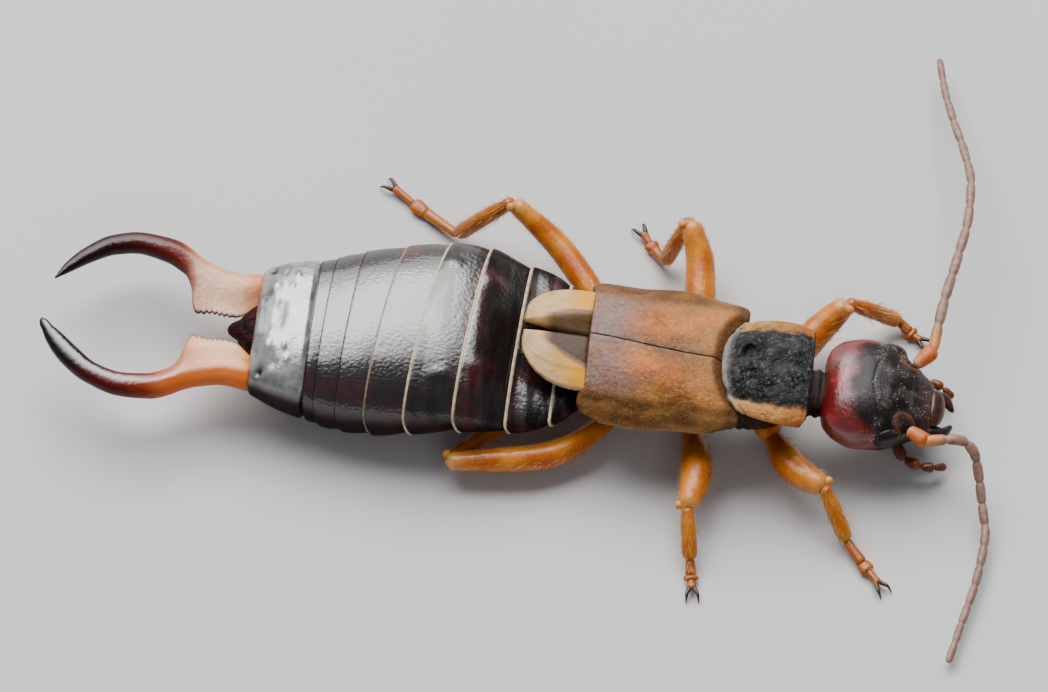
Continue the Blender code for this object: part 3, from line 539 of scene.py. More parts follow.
def abdomen_grid(columns):
    """Rings of the abdomen as points, with the marks that its finish reads."""
    angle = ring_angles(columns)
    cosine, sine = np.cos(angle), np.sin(angle)
    across_share = signed_power(cosine, 2.0 / ABDOMEN_POWER)
    up_share = signed_power(sine, 2.0 / ABDOMEN_POWER)
    belly = step_between(-sine, -math.sin(SIDE_SEAM) - 0.02, -math.sin(SIDE_SEAM) + 0.03)
    rows = []
    gloss = 0.02 + 0.98 * step_between(sine, 0.05, 0.50) + 0.5 * step_between(cosine, 0.5, 0.9)
    gloss = np.clip(gloss, 0.0, 1.0)
    marks = {"rim": [], "belly": [], "front": [], "gloss": []}
    fronts = (ABDOMEN_FRONT,) + PLATE_EDGES[:-1]
    for number, (front, rear) in enumerate(zip(fronts, PLATE_EDGES)):
        for share, forward, down, rim in PLATE_ROWS:
            if number == 0 and share == 0.0 and forward > 0.0:
                continue
            step = -STEP_DEPTHS[number] * down * (1.0 if number else share)
            centre = front + (rear - front) * share + forward * RIM_WIDTHS[number]
            width = abdomen_width(centre) + step
            across = width * across_share
            hook = step_between(-sine, -0.35, 0.40) * (1.0 - belly) * share
            hook = HOOKS[number] * hook + 0.10 * belly * share
            x = centre + plate_slant(centre) * (across + SLANT_FLEX * across ** 2) + hook
            top = abdomen_top(x) + step
            bottom = abdomen_bottom(x) - step
            waist = bottom + WAIST_SHARE * (top - bottom)
            width = abdomen_width(x) + step - 0.05 * belly
            rise = np.where(up_share > 0.0, top - waist, waist - bottom - 0.03 * belly)
            z = waist + up_share * rise
            y = middle(x) + width * across_share
            dorsal = step_between(up_share, 0.2, 0.7)
            z = z + 0.012 * dorsal * (hump(np.abs(across), 0.95, 0.16) - hump(across, 0.0, 0.12)) * share
            for gland_x, gland_across, gland_size in GLANDS:
                near = hump(x, gland_x, gland_size) * hump(np.abs(across), gland_across, gland_size)
                z = z + GLAND_HEIGHT * near * dorsal
            rows.append(np.stack((x, y, np.maximum(z, 0.0)), axis=1))
            marks["rim"].append(rim * np.ones(columns))
            marks["belly"].append(belly)
            marks["front"].append(np.full(columns, 1.0 - number / (len(PLATE_EDGES) - 1.0)))
            marks["gloss"].append(gloss)
    return as_arrays(rows, marks)


# %% [markdown]
# The cuticle of the plates is nearly black, with clouds of deep red. Fine beads break up the
# edge of every reflection into sparkle. The silver look on top isn't a colour: it is the
# bright sky mirrored in a clear coat, so the finish stays dark and the lamps make the silver.

# %% Abdomen finish
abdomen_finish, tree, shader = start_finish("abdomen_black", 0.42, level=0.03, coat_roughness=0.24)
red_patch = patches(tree, 1.6, 0.45, 0.75)
body = blend(tree, red_patch, (0.007, 0.004, 0.004), (0.050, 0.006, 0.005))
body = tint(tree, body, (0.10, 0.030, 0.016), mark_value(tree, "belly"))
front = window(tree, mark_value(tree, "front"), 0.30, 0.60)
# Rim colour: the real pale rim on the front plates; on the rear plates the rim is painted near black as the
# shade line under each step.
rim_tone_and_shade_line = blend(tree, front, (0.016, 0.013, 0.012), (0.66, 0.52, 0.34))
rim = times(tree, mark_value(tree, "rim"), blend_value(tree, patches(tree, 9.0), 0.70, 1.0))
body = tint(tree, body, rim_tone_and_shade_line, rim)
paint(tree, shader, body)
bare = calculate(tree, "SUBTRACT", 1.0, times(tree, rim, 0.92))
hazy = blend_value(tree, patches(tree, (4.5, 0.9, 0.9), 0.40, 0.62), 0.06, 0.60)
hazy = blend_value(tree, window(tree, mark_value(tree, "front"), 0.36, 0.86), 0.72, hazy)
coat(tree, shader, times(tree, times(tree, mark_value(tree, "gloss"), bare), hazy))
beads = times(tree, grain(tree, (14.0, 18.0, 18.0), 0.12), -1.0)
beads = times(tree, beads, blend_value(tree, window(tree, mark_value(tree, "gloss"), 0.45, 1.0), 1.0, 0.80))
add_bump(tree, shader, beads, 0.0072)
add_bump(tree, shader, grain(tree, (30.0, 36.0, 36.0), 0.3), 0.0016)

# %% Abdomen piece
points, marks = abdomen_grid(180)
make_piece("abdomen_plates", ring_shell(points, marks), abdomen_finish, "abdomen", "abdomen")

# %% [markdown]
# ## The last back plate
# The tenth plate of a male is a broad glossy box that holds the muscles of the forceps. It has
# a swelling over the root of each arm, smaller knobs beside the middle, a hollow between
# them and a thick rear rim. All of these are gentle waves, so they are added to the height of
# the rings by formula. Unlike the plates before it, this one has a cloudy grey painted on its
# top under the clear coat, a painted sheen, while its flank stays dark red. Its pits are painted
# near black as the shade in them, and it has pale knobs.

# %% Last segment
LAST_FRONT = -3.88
LAST_REAR = -4.98
last_width = profile(((-4.98, 1.22), (-4.40, 1.42), (-4.00, 1.50)))
last_top = profile(((-4.98, 1.70), (-4.85, 1.84), (-4.60, 1.97), (-4.30, 2.02), (-4.00, 2.00)))
last_bottom = profile(((-4.98, 0.74), (-4.50, 0.44), (-4.00, 0.22)))
LAST_POWER = 2.9
LAST_EDGE = 0.05
LAST_SUNK = 0.16
# Soft spots: height or share, place along the body, length, distance from the middle, width
LAST_RELIEF = (
    (0.10, -4.68, 0.14, 0.62, 0.20), (-0.10, -4.76, 0.10, 1.05, 0.11), (-0.06, -4.48, 0.11, 0.08, 0.16),
    (0.04, -4.60, 0.06, 0.30, 0.07), (0.04, -4.36, 0.05, 0.62, 0.06), (0.04, -4.28, 0.05, 0.90, 0.06),
    (-0.03, -4.52, 0.08, 0.95, 0.10),
)
# Hollows painted near black as their shade: share, place along the body, length, distance from the middle,
# width
LAST_PIT_SHADE = ((1.0, -4.76, 0.08, 1.05, 0.09), (0.8, -4.46, 0.07, 0.06, 0.12))
# Only the knobs on the far side are pale
PALE_KNOBS = ((1.0, -4.60, 0.05, 0.32, 0.06), (1.0, -4.35, 0.05, 0.63, 0.06), (1.0, -4.28, 0.05, 0.90, 0.06))


def soft_spots(spots, x, across):
    return sum(share * hump(x, spot, length) * hump(across, aside, width)
               for share, spot, length, aside, width in spots)


def last_segment_grid(rows, columns):
    across_share, up_share = ring_shares(columns, 2.0 / LAST_POWER)
    grid, marks = [], {"rim": [], "upper": [], "gloss": [], "pit": [], "knob": []}
    for share in np.concatenate(((0.0,), np.linspace(0.0, 1.0, rows), (1.0,))):
        x = LAST_FRONT + (LAST_REAR - LAST_FRONT) * share
        end = min(share, 1.0 - share) * (LAST_FRONT - LAST_REAR)
        rounding = LAST_EDGE * (1.0 - min(1.0, end / LAST_EDGE)) ** 2
        rounding = max(rounding, 0.06 * float(step_between(x, -4.02, -3.90)))
        if len(grid) in (0, rows + 1):
            rounding = LAST_SUNK
        width = last_width(x) - rounding
        top, bottom = last_top(x) - rounding, last_bottom(x) + rounding
        waist = bottom + WAIST_SHARE * (top - bottom)
        rise = np.where(up_share > 0.0, top - waist, waist - bottom)
        across = width * across_share
        z = waist + up_share * rise
        dorsal = step_between(up_share, 0.25, 0.75)
        side = np.abs(across)
        for height, spot, length, aside, width_across in LAST_RELIEF:
            z += dorsal * height * hump(x, spot, length) * hump(side, aside, width_across)
        z += dorsal * 0.02 * hump(x, LAST_REAR + LAST_EDGE, LAST_EDGE)
        grid.append(np.stack((np.full(columns, x), middle(x) + across, z), axis=1))
        marks["rim"].append(np.full(columns, hump(x, LAST_REAR, LAST_EDGE)))
        marks["upper"].append(dorsal)
        marks["gloss"].append(0.03 + 0.97 * step_between(up_share, 0.18, 0.60))
        marks["pit"].append(dorsal * soft_spots(LAST_PIT_SHADE, x, side))
        marks["knob"].append(dorsal * soft_spots(PALE_KNOBS, x, across))
    return as_arrays(grid, marks)


last_finish, tree, shader = start_finish("last_plate_painted_sheen", 0.38, level=0.03, coat_roughness=0.20)
cloud = patches(tree, 2.5, 0.35, 0.7)
# Painted sheen: the cloudy grey on the top stands for the sky mirrored there; the flank below keeps its dark
# red.
body = blend(tree, cloud, (0.110, 0.120, 0.110), (0.300, 0.316, 0.292))
flank = blend(tree, patches(tree, 2.0, 0.4, 0.7), (0.012, 0.004, 0.004), (0.060, 0.008, 0.007))
body = blend(tree, mark_value(tree, "upper"), flank, body)
body = tint(tree, body, (0.090, 0.024, 0.014), mark_value(tree, "rim"), 0.7)
body = tint(tree, body, (0.42, 0.25, 0.17), mark_value(tree, "knob"), 0.7)
# Painted shade: the pits are painted near black.
body = tint(tree, body, (0.010, 0.010, 0.009), mark_value(tree, "pit"))
paint(tree, shader, body)
unpitted = calculate(tree, "SUBTRACT", 0.92, times(tree, mark_value(tree, "pit"), 0.88))
coat(tree, shader, times(tree, mark_value(tree, "gloss"), unpitted))
add_bump(tree, shader, patches(tree, 3.5, 0.25, 0.75), 0.010)
add_bump(tree, shader, grain(tree, (16.0, 20.0, 20.0), 0.3), 0.0030)
points, marks = last_segment_grid(60, 140)
make_piece("last_back_plate", ring_shell(points, marks), last_finish, "abdomen", "last_segment")

# %% [markdown]
# ## The forceps
# A male's arms leave the body as broad flat blades with a saw edge inside, end that blade in a
# tooth, and then bow out and meet at the tips. One stack of rings follows the arm: its inner
# half reaches far in along the blade, and the rings turn to stay square to the arm behind it.

# %% Forceps shape
FORCEPS_ROOT_X = -5.05
FORCEPS_HEIGHT = 1.20
FORCEPS_TIP_RISE = 0.25
FORCEPS_LENGTH = 3.90
FORCEPS_DRIFT = 0.034
TOOTH_COUNT = 7
TOOTH_DEPTH = 0.045
FAR_ARM_SHORTER = 0.05
NEAR_TIP_RADIUS = 0.11
NEAR_TIP_FROM = 3.55
SAW_START, SAW_END = 0.34, 1.06
SUNK_ROOT = -0.12
FORCEPS_AXIS_X = -4.95
arm_centre = profile((
    (0.00, 0.90), (0.35, 0.88), (0.85, 1.00), (1.10, 1.11), (1.36, 1.27), (1.75, 1.43), (2.30, 1.49),
    (2.85, 1.36), (3.30, 1.07), (3.65, 0.74), (3.90, 0.44),
))
arm_outer = profile((
    (0.00, 0.29), (0.35, 0.27), (1.10, 0.25), (1.75, 0.235), (2.30, 0.22), (2.85, 0.20), (3.30, 0.165),
    (3.65, 0.11), (3.90, 0.018),
))
arm_inner = profile((
    (0.00, 0.44), (0.30, 0.62), (0.80, 0.74), (1.10, 0.88), (1.16, 0.80), (1.26, 0.44), (1.40, 0.27),
    (1.75, 0.235), (2.30, 0.22), (2.85, 0.20), (3.30, 0.165), (3.65, 0.11), (3.90, 0.018),
))
arm_thickness = profile((
    (0.00, 0.27), (0.35, 0.25), (0.85, 0.23), (1.36, 0.23), (2.30, 0.21), (2.85, 0.195), (3.30, 0.16),
    (3.65, 0.11), (3.90, 0.018),
))


def saw_edge(s):
    """Blunt teeth along the inner edge of the blade, as a share of the tooth depth."""
    turns = TOOTH_COUNT * (s - SAW_START) / (SAW_END - SAW_START) + 0.18 * math.sin(9.0 * s)
    inside = step_between(s, 0.30, 0.50) * (1.0 - step_between(s, 0.98, 1.08))
    return inside * (0.5 * np.cos(2.0 * math.pi * turns) - 0.5)


def forceps_grid(side, columns):
    outward, up = ring_shares(columns, 0.85, 0.9)
    blade_steps, bow_steps = np.linspace(0.00, 1.30, 150), np.linspace(1.33, FORCEPS_LENGTH, 90)
    steps = np.concatenate(((SUNK_ROOT, SUNK_ROOT), blade_steps, bow_steps))
    grid, marks = [], {"tipwards": [], "inner": [], "outer": [], "crest": []}
    for number, s in enumerate(steps):
        shrink = (0.75, 0.95)[number] if number < 2 else 1.0
        centre = float(arm_centre(s))
        slope = float(arm_centre(s + 0.02) - arm_centre(s - 0.02)) / 0.04
        lean = math.atan(slope) * float(step_between(s, 1.20, 1.95))
        reach = np.where(outward > 0.0, float(arm_outer(s)), float(arm_inner(s))) * outward * shrink
        reach = reach - TOOTH_DEPTH * float(saw_edge(s)) * np.clip(-outward, 0.0, 1.0) ** 8
        blade = step_between(-outward, 0.1, 0.9) * (1.0 - step_between(s, 1.0, 1.4))
        thick = float(arm_thickness(s)) * (1.0 - 0.62 * blade) * shrink
        ridge = 0.04 * hump(outward, 0.1, 0.35) * (1.0 - step_between(s, 1.3, 2.2)) * (up > 0)
        height = FORCEPS_HEIGHT + FORCEPS_TIP_RISE * (s / FORCEPS_LENGTH) ** 2
        slender = 1.0 - 0.10 * float(step_between(s, 1.4, 2.4)) * (side > 0)
        blunt = 1.0 + 0.40 * float(step_between(s, 2.7, 3.7)) * (side < 0)
        reach = reach * slender * blunt
        thick = thick * (0.5 + 0.5 * blunt)
        if side < 0:
            to_end = min(1.0, max(0.0, (s - NEAR_TIP_FROM) / (FORCEPS_LENGTH - NEAR_TIP_FROM)))
            tip = NEAR_TIP_RADIUS * math.sqrt(1.0 - to_end ** 4) + 0.005
            reach = np.sign(reach) * np.maximum(np.abs(reach), tip * np.abs(outward))
            thick = np.maximum(thick, 0.9 * tip)
        shorter = FAR_ARM_SHORTER * max(0.0, s - 1.2) * (side > 0)
        back = s - shorter - reach * math.sin(lean)
        across = centre + reach * math.cos(lean)
        y = float(middle(FORCEPS_AXIS_X)) + FORCEPS_DRIFT * back + side * across
        z = height + up * (thick + ridge)
        grid.append(np.stack((FORCEPS_ROOT_X - back, y, z), axis=1))
        marks["tipwards"].append(np.full(columns, s / FORCEPS_LENGTH))
        marks["inner"].append(np.clip(-outward, 0.0, 1.0))
        marks["outer"].append(np.clip(outward, 0.0, 1.0))
        marks["crest"].append(hump(outward, -0.20, 0.40) * (up > 0))
    return as_arrays(grid, marks)


# %% [markdown]
# The horn runs from pale peach at the root through orange and deep red to black points, and
# its inner edge, saw and all, is painted dark as shade. A ramp along the arm carries these
# colours, and clouds of noise move its borders, so that no ring of colour looks printed. The far
# arm turns dark sooner. A clear coat on the crest mirrors the sky in a streak, strong on the near
# arm, weak on the far.

# %% Forceps finish


def ramp(tree, value, stops):
    """Colour ramp through (place, colour) stops."""
    node = add_node(tree, "ShaderNodeValToRGB")
    node.color_ramp.interpolation = "B_SPLINE"
    elements = node.color_ramp.elements
    while len(elements) < len(stops):
        elements.new(0.5)
    for element, (place, colour) in zip(elements, stops):
        element.position = place
        element.color = (*colour, 1.0)
    tree.links.new(value, node.inputs["Fac"])
    return node.outputs["Color"]


def forceps_finish(name, stops, crest_gloss, warmth):
    """Horn whose colour runs along the arm, with painted shade on its inner edge and a warm outer side."""
    material, tree, shader = start_finish(name, 0.28, ior=1.62, level=0.10, coat_roughness=0.16)
    along = mark_value(tree, "tipwards")
    body = ramp(tree, calculate(tree, "ADD", along, waver(tree, 2.2, 0.08)), stops)
    warm = times(tree, window(tree, mark_value(tree, "outer"), 0.00, 0.45), warmth)
    warm = times(tree, warm, window(tree, along, 0.46, 0.30))
    body = tint(tree, body, (0.66, 0.130, 0.010), warm)
    # Painted shade: a dark line along the inner edge of the arm, saw edge included.
    inner = window(tree, mark_value(tree, "inner"), 0.90, 0.995)
    dark = times(tree, inner, window(tree, along, 0.03, 0.10))
    body = tint(tree, body, (0.020, 0.006, 0.005), dark)
    paint(tree, shader, body)
    blade = times(tree, window(tree, mark_value(tree, "inner"), 0.02, 0.40), window(tree, along, 0.36, 0.22))
    crest = times(tree, mark_value(tree, "crest"), window(tree, along, 0.24, 0.38))
    crest = times(tree, crest, crest_gloss)
    coat(tree, shader, calculate(tree, "MAXIMUM", times(tree, blade, 0.26), crest))
    add_bump(tree, shader, times(tree, grain(tree, 15.0, 0.2), -1.0), 0.0075)
    add_bump(tree, shader, grain(tree, 34.0, 0.4), 0.0018)
    return material


FAR_STOPS = (
    (0.00, (0.70, 0.24, 0.08)), (0.07, (0.82, 0.52, 0.33)), (0.24, (0.80, 0.48, 0.32)),
    (0.33, (0.20, 0.022, 0.012)), (0.43, (0.082, 0.005, 0.005)), (0.70, (0.024, 0.003, 0.003)),
    (1.00, (0.004, 0.004, 0.004)),
)
NEAR_STOPS = (
    (0.00, (0.66, 0.17, 0.03)), (0.08, (0.84, 0.50, 0.30)), (0.22, (0.78, 0.38, 0.20)),
    (0.34, (0.46, 0.080, 0.014)), (0.47, (0.150, 0.012, 0.005)), (0.68, (0.045, 0.005, 0.004)),
    (0.86, (0.004, 0.004, 0.004)),
)
# Side, its sign, its colours, gloss of the crest, warmth of the outer side
ARMS = (("left", 1, FAR_STOPS, 0.10, 0.35), ("right", -1, NEAR_STOPS, 0.50, 0.92))
for side_name, side, stops, crest_gloss, warmth in ARMS:
    points, marks = forceps_grid(side, 40)
    finish = forceps_finish("horn_" + side_name, stops, crest_gloss, warmth)
    arm = ring_shell(points, marks)
    make_piece("forceps_arm_" + side_name, arm, finish, "forceps", "forceps_" + side_name)

# %% [markdown]
# ## The small plate between the arms
# Between the roots of the forceps sits the pygidium, a small horny tongue. A web of
# folded skin behind it closes the end of the body, so nobody can see into the hollow. Web and
# tongue are painted near black as the shade in that hollow.

# %% Pygidium
PYGIDIUM_FRONT = -5.06
PYGIDIUM_LENGTH = 0.46
PYGIDIUM_HALF_WIDTH = 0.27
WEB_FRONT = -4.90
WEB_HALF_WIDTH = 0.60


def tongue(x_from, length, half_width, height, half_height, columns=28, rows=22):
    """Blunt flattened tongue that points to the rear."""
    across, up = ring_shares(columns, 0.85)
    grid = []
    for share in np.linspace(0.0, 1.0, rows):
        size = math.sqrt(max(0.0, 1.0 - share ** 2.2)) * 0.96 + 0.02
        x = x_from - share * length
        y = float(middle(x)) + across * half_width * size * (1.0 - 0.35 * share)
        z = height - 0.05 * share + up * half_height * size
        grid.append(np.stack((np.full(columns, x), y, z), axis=1))
    return np.array(grid)


# Painted shade: the web and the tongue take a near-black red, the shade between the forceps roots.
hollow_shade_finish, tree, shader = start_finish("web_painted_shade", 0.42, level=0.04)
paint(tree, shader, blend(tree, patches(tree, (3.0, 9.0, 9.0)), (0.005, 0.002, 0.002), (0.034, 0.004, 0.004)))
add_bump(tree, shader, patches(tree, (5.0, 16.0, 16.0), 0.3, 0.7), 0.02)
web = ring_shell(tongue(WEB_FRONT, PYGIDIUM_LENGTH, WEB_HALF_WIDTH, 1.22, 0.32, 40))
tongue_shell = ring_shell(tongue(PYGIDIUM_FRONT, PYGIDIUM_LENGTH, PYGIDIUM_HALF_WIDTH, 1.24, 0.22))
make_piece("pygidium_and_web", join_shells((web, tongue_shell)), hollow_shade_finish, "abdomen", "pygidium")

# %% [markdown]
# ## The wing cases
# The front wings are short leathery lids. Each is a curved plate that bends down over the
# side, meets its twin along the middle and is cut off square behind. A plate with a
# round edge, made from one mapping of the unit square, gives the top, the underside and the
# edge together.

# %% Wing cases
ELYTRA_TOP = 2.30
ELYTRA_REAR = 1.22
ELYTRA_HALF_WIDTH = 1.44
ELYTRA_DROP = 0.78
ELYTRA_BEND = math.radians(62.0)
ELYTRA_TUCK = 0.06
ELYTRA_SEAM = 0.002
PRONOTUM_REAR = 3.70
PRONOTUM_FRONT = 5.30
PRONOTUM_HALF_WIDTH = 1.00


def pronotum_rear(share):
    return PRONOTUM_REAR + 0.36 * np.abs(share) ** 2.6


def elytron_place(side):
    """Top of a wing case: u runs forward, and its outer edge bends down over the flank."""
    def place(u, v):
        out = v if side > 0 else 1.0 - v
        angle = ELYTRA_BEND * out
        across = ELYTRA_SEAM + (ELYTRA_HALF_WIDTH - ELYTRA_SEAM) * np.sin(angle) / math.sin(ELYTRA_BEND)
        drop = ELYTRA_DROP * (1.0 - np.cos(angle)) / (1.0 - math.cos(ELYTRA_BEND))
        lobe = -0.12 * hump(out, 0.76, 0.16) + 0.34 * step_between(out, 0.86, 1.0) ** 1.5
        rear = ELYTRA_REAR + (0.6 if side > 0 else 1.0) * lobe
        shoulder = (0.55 if side > 0 else 0.42) * step_between(out, 0.68 if side > 0 else 0.80, 1.0) ** 2
        tucked = pronotum_rear(np.minimum(1.0, across / PRONOTUM_HALF_WIDTH)) + ELYTRA_TUCK
        x = rear + (tucked - shoulder - rear) * u
        fore = step_between(u, 0.25, 0.75) * out
        across = across + fore * (0.10 if side > 0 else -0.10) - 0.06 * out * step_between(u, 0.80, 1.0)
        across = across + 0.07 * out * hump(u, 0.38, 0.42) * (side > 0)
        lift = 0.16 * fore
        swell = 0.035 * np.sin(math.pi * out) * np.sin(math.pi * u)
        swell = swell - 0.17 * step_between(u, 0.90, 1.0) * (1.0 - step_between(out, 0.50, 0.80))
        seam = -0.012 * hump(out, 0.0, 0.025) - 0.006 * hump(out, 0.075, 0.02)
        fold = -0.020 * hump(out, 0.72, 0.05) + 0.02 * hump(out, 0.96, 0.04)
        height = ELYTRA_TOP - drop + lift + swell + seam + fold
        return np.stack((x, middle(x) + side * across, height), axis=-1)
    return place


def outwards(side):
    return lambda u, v: v if side > 0 else 1.0 - v


def orange_patches(side):
    """Mark of two warm patches: one behind the middle of a case and one near its front."""
    def glow(u, v):
        out = outwards(side)(u, v)
        rear_patch = hump(u, 0.38, 0.27) * hump(out, 0.26, 0.17)
        front_patch = 0.9 * hump(u, 0.78, 0.09) * hump(out, 0.42, 0.11)
        return np.maximum(rear_patch, front_patch)
    return glow


# %% [markdown]
# Seen close, a wing case is amber-brown leather with a fine pale speckle, part hairs and part
# painted glints. It has two orange patches, a grey sheen painted over its rear, painted shade
# beside the seam, a golden front with a painted shadow by the shield and a darker folded side.
# Three marks say where these lie, clouds of noise break up their borders, and a fine grain
# roughens the gloss.

# %% Wing case finish
elytra_finish, tree, shader = start_finish("wing_case_leather", 0.46, level=0.08)
out = mark_value(tree, "out")
rear = mark_value(tree, "rear")
warm = patches(tree, (1.0, 1.6, 1.6), 0.42, 0.60)
body = blend(tree, warm, (0.205, 0.074, 0.014), (0.400, 0.155, 0.034))
glow = times(tree, mark_value(tree, "glow"), blend_value(tree, patches(tree, 1.8, 0.40, 0.58), 0.35, 1.0))
body = tint(tree, body, (0.66, 0.170, 0.030), glow)
dull = times(tree, patches(tree, 1.7, 0.46, 0.60), 0.42)
body = tint(tree, body, (0.150, 0.085, 0.048), dull)
# Painted shade: the case is greyed beside the seam, where the twin cases meet.
seam_shade = times(tree, window(tree, out, 0.12, 0.02), 0.55)
body = tint(tree, body, (0.150, 0.090, 0.062), seam_shade)
# Painted sheen: a grey veil over the rear of the case, where the sky is mirrored.
rear_sheen = times(tree, window(tree, rear, 0.50, 0.92), window(tree, out, 0.78, 0.45))
rear_sheen = times(tree, rear_sheen, blend_value(tree, patches(tree, 2.4, 0.35, 0.65), 0.50, 1.0))
body = tint(tree, body, (0.235, 0.160, 0.155), rear_sheen)
side_ochre = window(tree, out, 0.56, 0.70)
ochre = blend(tree, patches(tree, (2.6, 3.8, 3.8), 0.4, 0.65), (0.110, 0.046, 0.012), (0.190, 0.085, 0.022))
body = tint(tree, body, ochre, side_ochre)
body = tint(tree, body, (0.42, 0.24, 0.10), window(tree, out, 0.93, 1.0), 0.5)
# Pale pinkish flecks: partly the fine pale hairs, partly painted glints on them.
pale_glint_freckles = patches(tree, 12.0, 0.50, 0.66)
glint_fleck_share = blend_value(tree, side_ochre, 0.20, 0.08)
body = tint(tree, body, (0.50, 0.32, 0.22), times(tree, pale_glint_freckles, glint_fleck_share))
dark_freckles = patches(tree, (9.0, 14.0, 14.0), 0.52, 0.70)
dark_freckles = times(tree, dark_freckles, blend_value(tree, side_ochre, 0.42, 0.12))
body = tint(tree, body, (0.085, 0.036, 0.018), dark_freckles)
# Fine light specks: partly pale hairs, partly painted glints.
body = tint(tree, body, (0.72, 0.58, 0.42), specks(tree, 44.0, 0.10), 0.30)
golden = times(tree, window(tree, rear, 0.34, 0.16), 0.35)
body = tint(tree, body, (0.36, 0.180, 0.050), golden)
shadowed_front = times(tree, window(tree, rear, 0.12, 0.05), 0.8)
body = tint(tree, body, (0.07, 0.030, 0.015), shadowed_front)
seam_dark = times(tree, window(tree, out, 0.008, 0.001), 0.6)
rear_dark = window(tree, rear, 0.985, 1.0)
body = tint(tree, body, (0.060, 0.022, 0.013), calculate(tree, "MAXIMUM", seam_dark, rear_dark))
body = tint(tree, body, (0.10, 0.05, 0.025), mark_value(tree, "under"))
paint(tree, shader, body)
add_bump(tree, shader, grain(tree, 13.0, 0.9), 0.014)
add_bump(tree, shader, grain(tree, 34.0, 0.6), 0.004)
add_bump(tree, shader, patches(tree, (2.6, 3.6, 3.6), 0.3, 0.7), 0.012)
for side_name, side in SIDES:
    marks = {
        "out": outwards(side),
        "rear": lambda u, v: 1.0 - u,
        "glow": orange_patches(side),
        "hair": lambda u, v: np.ones_like(u),
    }
    shell = plate_shell(elytron_place(side), (2.5, 1.7), 0.12, (72, 72), marks, (1.0, 0.22))
    make_piece("wing_case_" + side_name, shell, elytra_finish, "wing_cases", "elytron_" + side_name)

# %% [markdown]
# ## The tips of the folded wings
# The hind wings fold like a parachute and only their leathery tips stick out behind the
# cases. Each tip is a small rounded scale with a yellow patch, and the far one shows its
# dark inner wall beside a narrow cleft.

# %% Wing tips
WING_TOP = 2.22
WING_TIP_X = -0.02
WING_HALF_WIDTH = 1.07
WING_TIP_WIDTH = 0.16
WING_INNER = {"left": 0.06, "right": 0.02}
CLEFT_DROP = 0.26


def wing_tip_place(side, inner):
    """Top of a wing tip: a rounded scale whose inner part slopes down into the cleft."""
    def place(u, v):
        out = v if side > 0 else 1.0 - v
        fullness = np.sqrt(np.clip(1.0 - (1.0 - np.minimum(1.0, u / 0.72)) ** 2, 0.0, 1.0))
        width = WING_TIP_WIDTH + (WING_HALF_WIDTH - inner - WING_TIP_WIDTH) * fullness
        across = inner + 0.04 * (1.0 - fullness) + width * out
        front = ELYTRA_REAR + 0.30 * np.minimum(1.0, across / 1.42) ** 5 + 0.14
        x = WING_TIP_X + (front - WING_TIP_X) * u
        drop = 0.26 * (across / WING_HALF_WIDTH) ** 2.4 + 0.07 * (1.0 - u) ** 2
        drop = drop + 0.08 * step_between(u, 0.85, 1.0)
        ledge = CLEFT_DROP * (1.0 - step_between(out, 0.0, 0.16 + 0.30 * u)) * (0.35 + 0.65 * u)
        pleat = 0.006 * hump(out, 0.62, 0.05) - 0.005 * hump(out, 0.70, 0.04)
        height = WING_TOP - drop - ledge * (side > 0) + pleat
        return np.stack((x, middle(x) + side * across, height), axis=-1)
    return place


# %% [markdown]
# The finish is parchment: cream towards the rear, a yellow lobe at the outer front, and a
# brown shadow beside the wing case, divided from the lobe by a thin red-brown line. Three
# marks, worked out with the shape, say where each of these lies.

# %% Wing tip finish
wing_finish, tree, shader = start_finish("wing_tip_parchment", 0.38, level=0.12)
cream = blend(tree, patches(tree, 3.0, 0.35, 0.7), (0.47, 0.280, 0.105), (0.60, 0.415, 0.215))
veins = patches(tree, (2.5, 9.0, 9.0), 0.55, 0.75)
body = blend(tree, times(tree, veins, 0.16), cream, (0.28, 0.18, 0.09))
body = tint(tree, body, (0.030, 0.013, 0.009), mark_value(tree, "shade"))
body = tint(tree, body, (0.070, 0.008, 0.004), mark_value(tree, "line"))
body = tint(tree, body, (0.68, 0.31, 0.012), mark_value(tree, "spot"))
edge_warm = times(tree, window(tree, mark_value(tree, "tip"), 0.93, 1.0), 0.5)
body = tint(tree, body, (0.62, 0.34, 0.14), edge_warm)
body = tint(tree, body, (0.05, 0.016, 0.010), mark_value(tree, "under"), 0.9)
paint(tree, shader, body)
add_bump(tree, shader, grain(tree, 18.0, 0.7), 0.006)


def wing_marks(side):
    """Marks of a wing tip; the shade beside the case is a wedge, wider on the near one."""
    out = outwards(side)

    def border(u):
        """Place across where the shade ends and the yellow lobe begins."""
        if side > 0:
            return 0.30 + 0.15 * u
        return 0.10 + 0.62 * np.clip(u - 0.15, 0.0, 1.0) ** 0.8

    def shade(u, v):
        inside = 1.0 - step_between(out(u, v) - border(u), -0.06, 0.03)
        return (0.80 if side > 0 else 0.95) * step_between(u, 0.22, 0.42) * inside

    def line(u, v):
        return 0.8 * step_between(u, 0.40, 0.60) * hump(out(u, v), border(u) + 0.01, 0.030)

    def spot(u, v):
        outside = step_between(out(u, v) - border(u), 0.0, 0.10)
        return hump(u, 0.82, 0.26) * outside * (1.0 - step_between(out(u, v), 0.86, 1.0))

    return {"tip": lambda u, v: 1.0 - u, "shade": shade, "line": line, "spot": spot}


for side_name, side in SIDES:
    thickness = 0.30 if side > 0 else 0.24
    place = wing_tip_place(side, WING_INNER[side_name])
    shell = plate_shell(place, (1.4, 0.9), thickness, (56, 52), wing_marks(side), (0.5, 0.6))
    make_piece("wing_tip_scale_" + side_name, shell, wing_finish, "wing_tips", "wing_tip_" + side_name)

# %% [markdown]
# ## The neck shield
# The pronotum is a square shield with a rounded rear. Its grey-black disc is domed in front
# and rough as slate, and its side margins are thin, buff and a little turned up. The rear
# rim is a soft pale band.

# %% Pronotum
PRONOTUM_TOP = 2.35
FRONT_REACH = 0.10
PIT_PLACE, PIT_STRETCH = 0.30, 1.6
# Two pits with raised rings: place across as a share, and how deep
SHIELD_PITS = ((0.16, 1.6), (-0.30, 0.6))


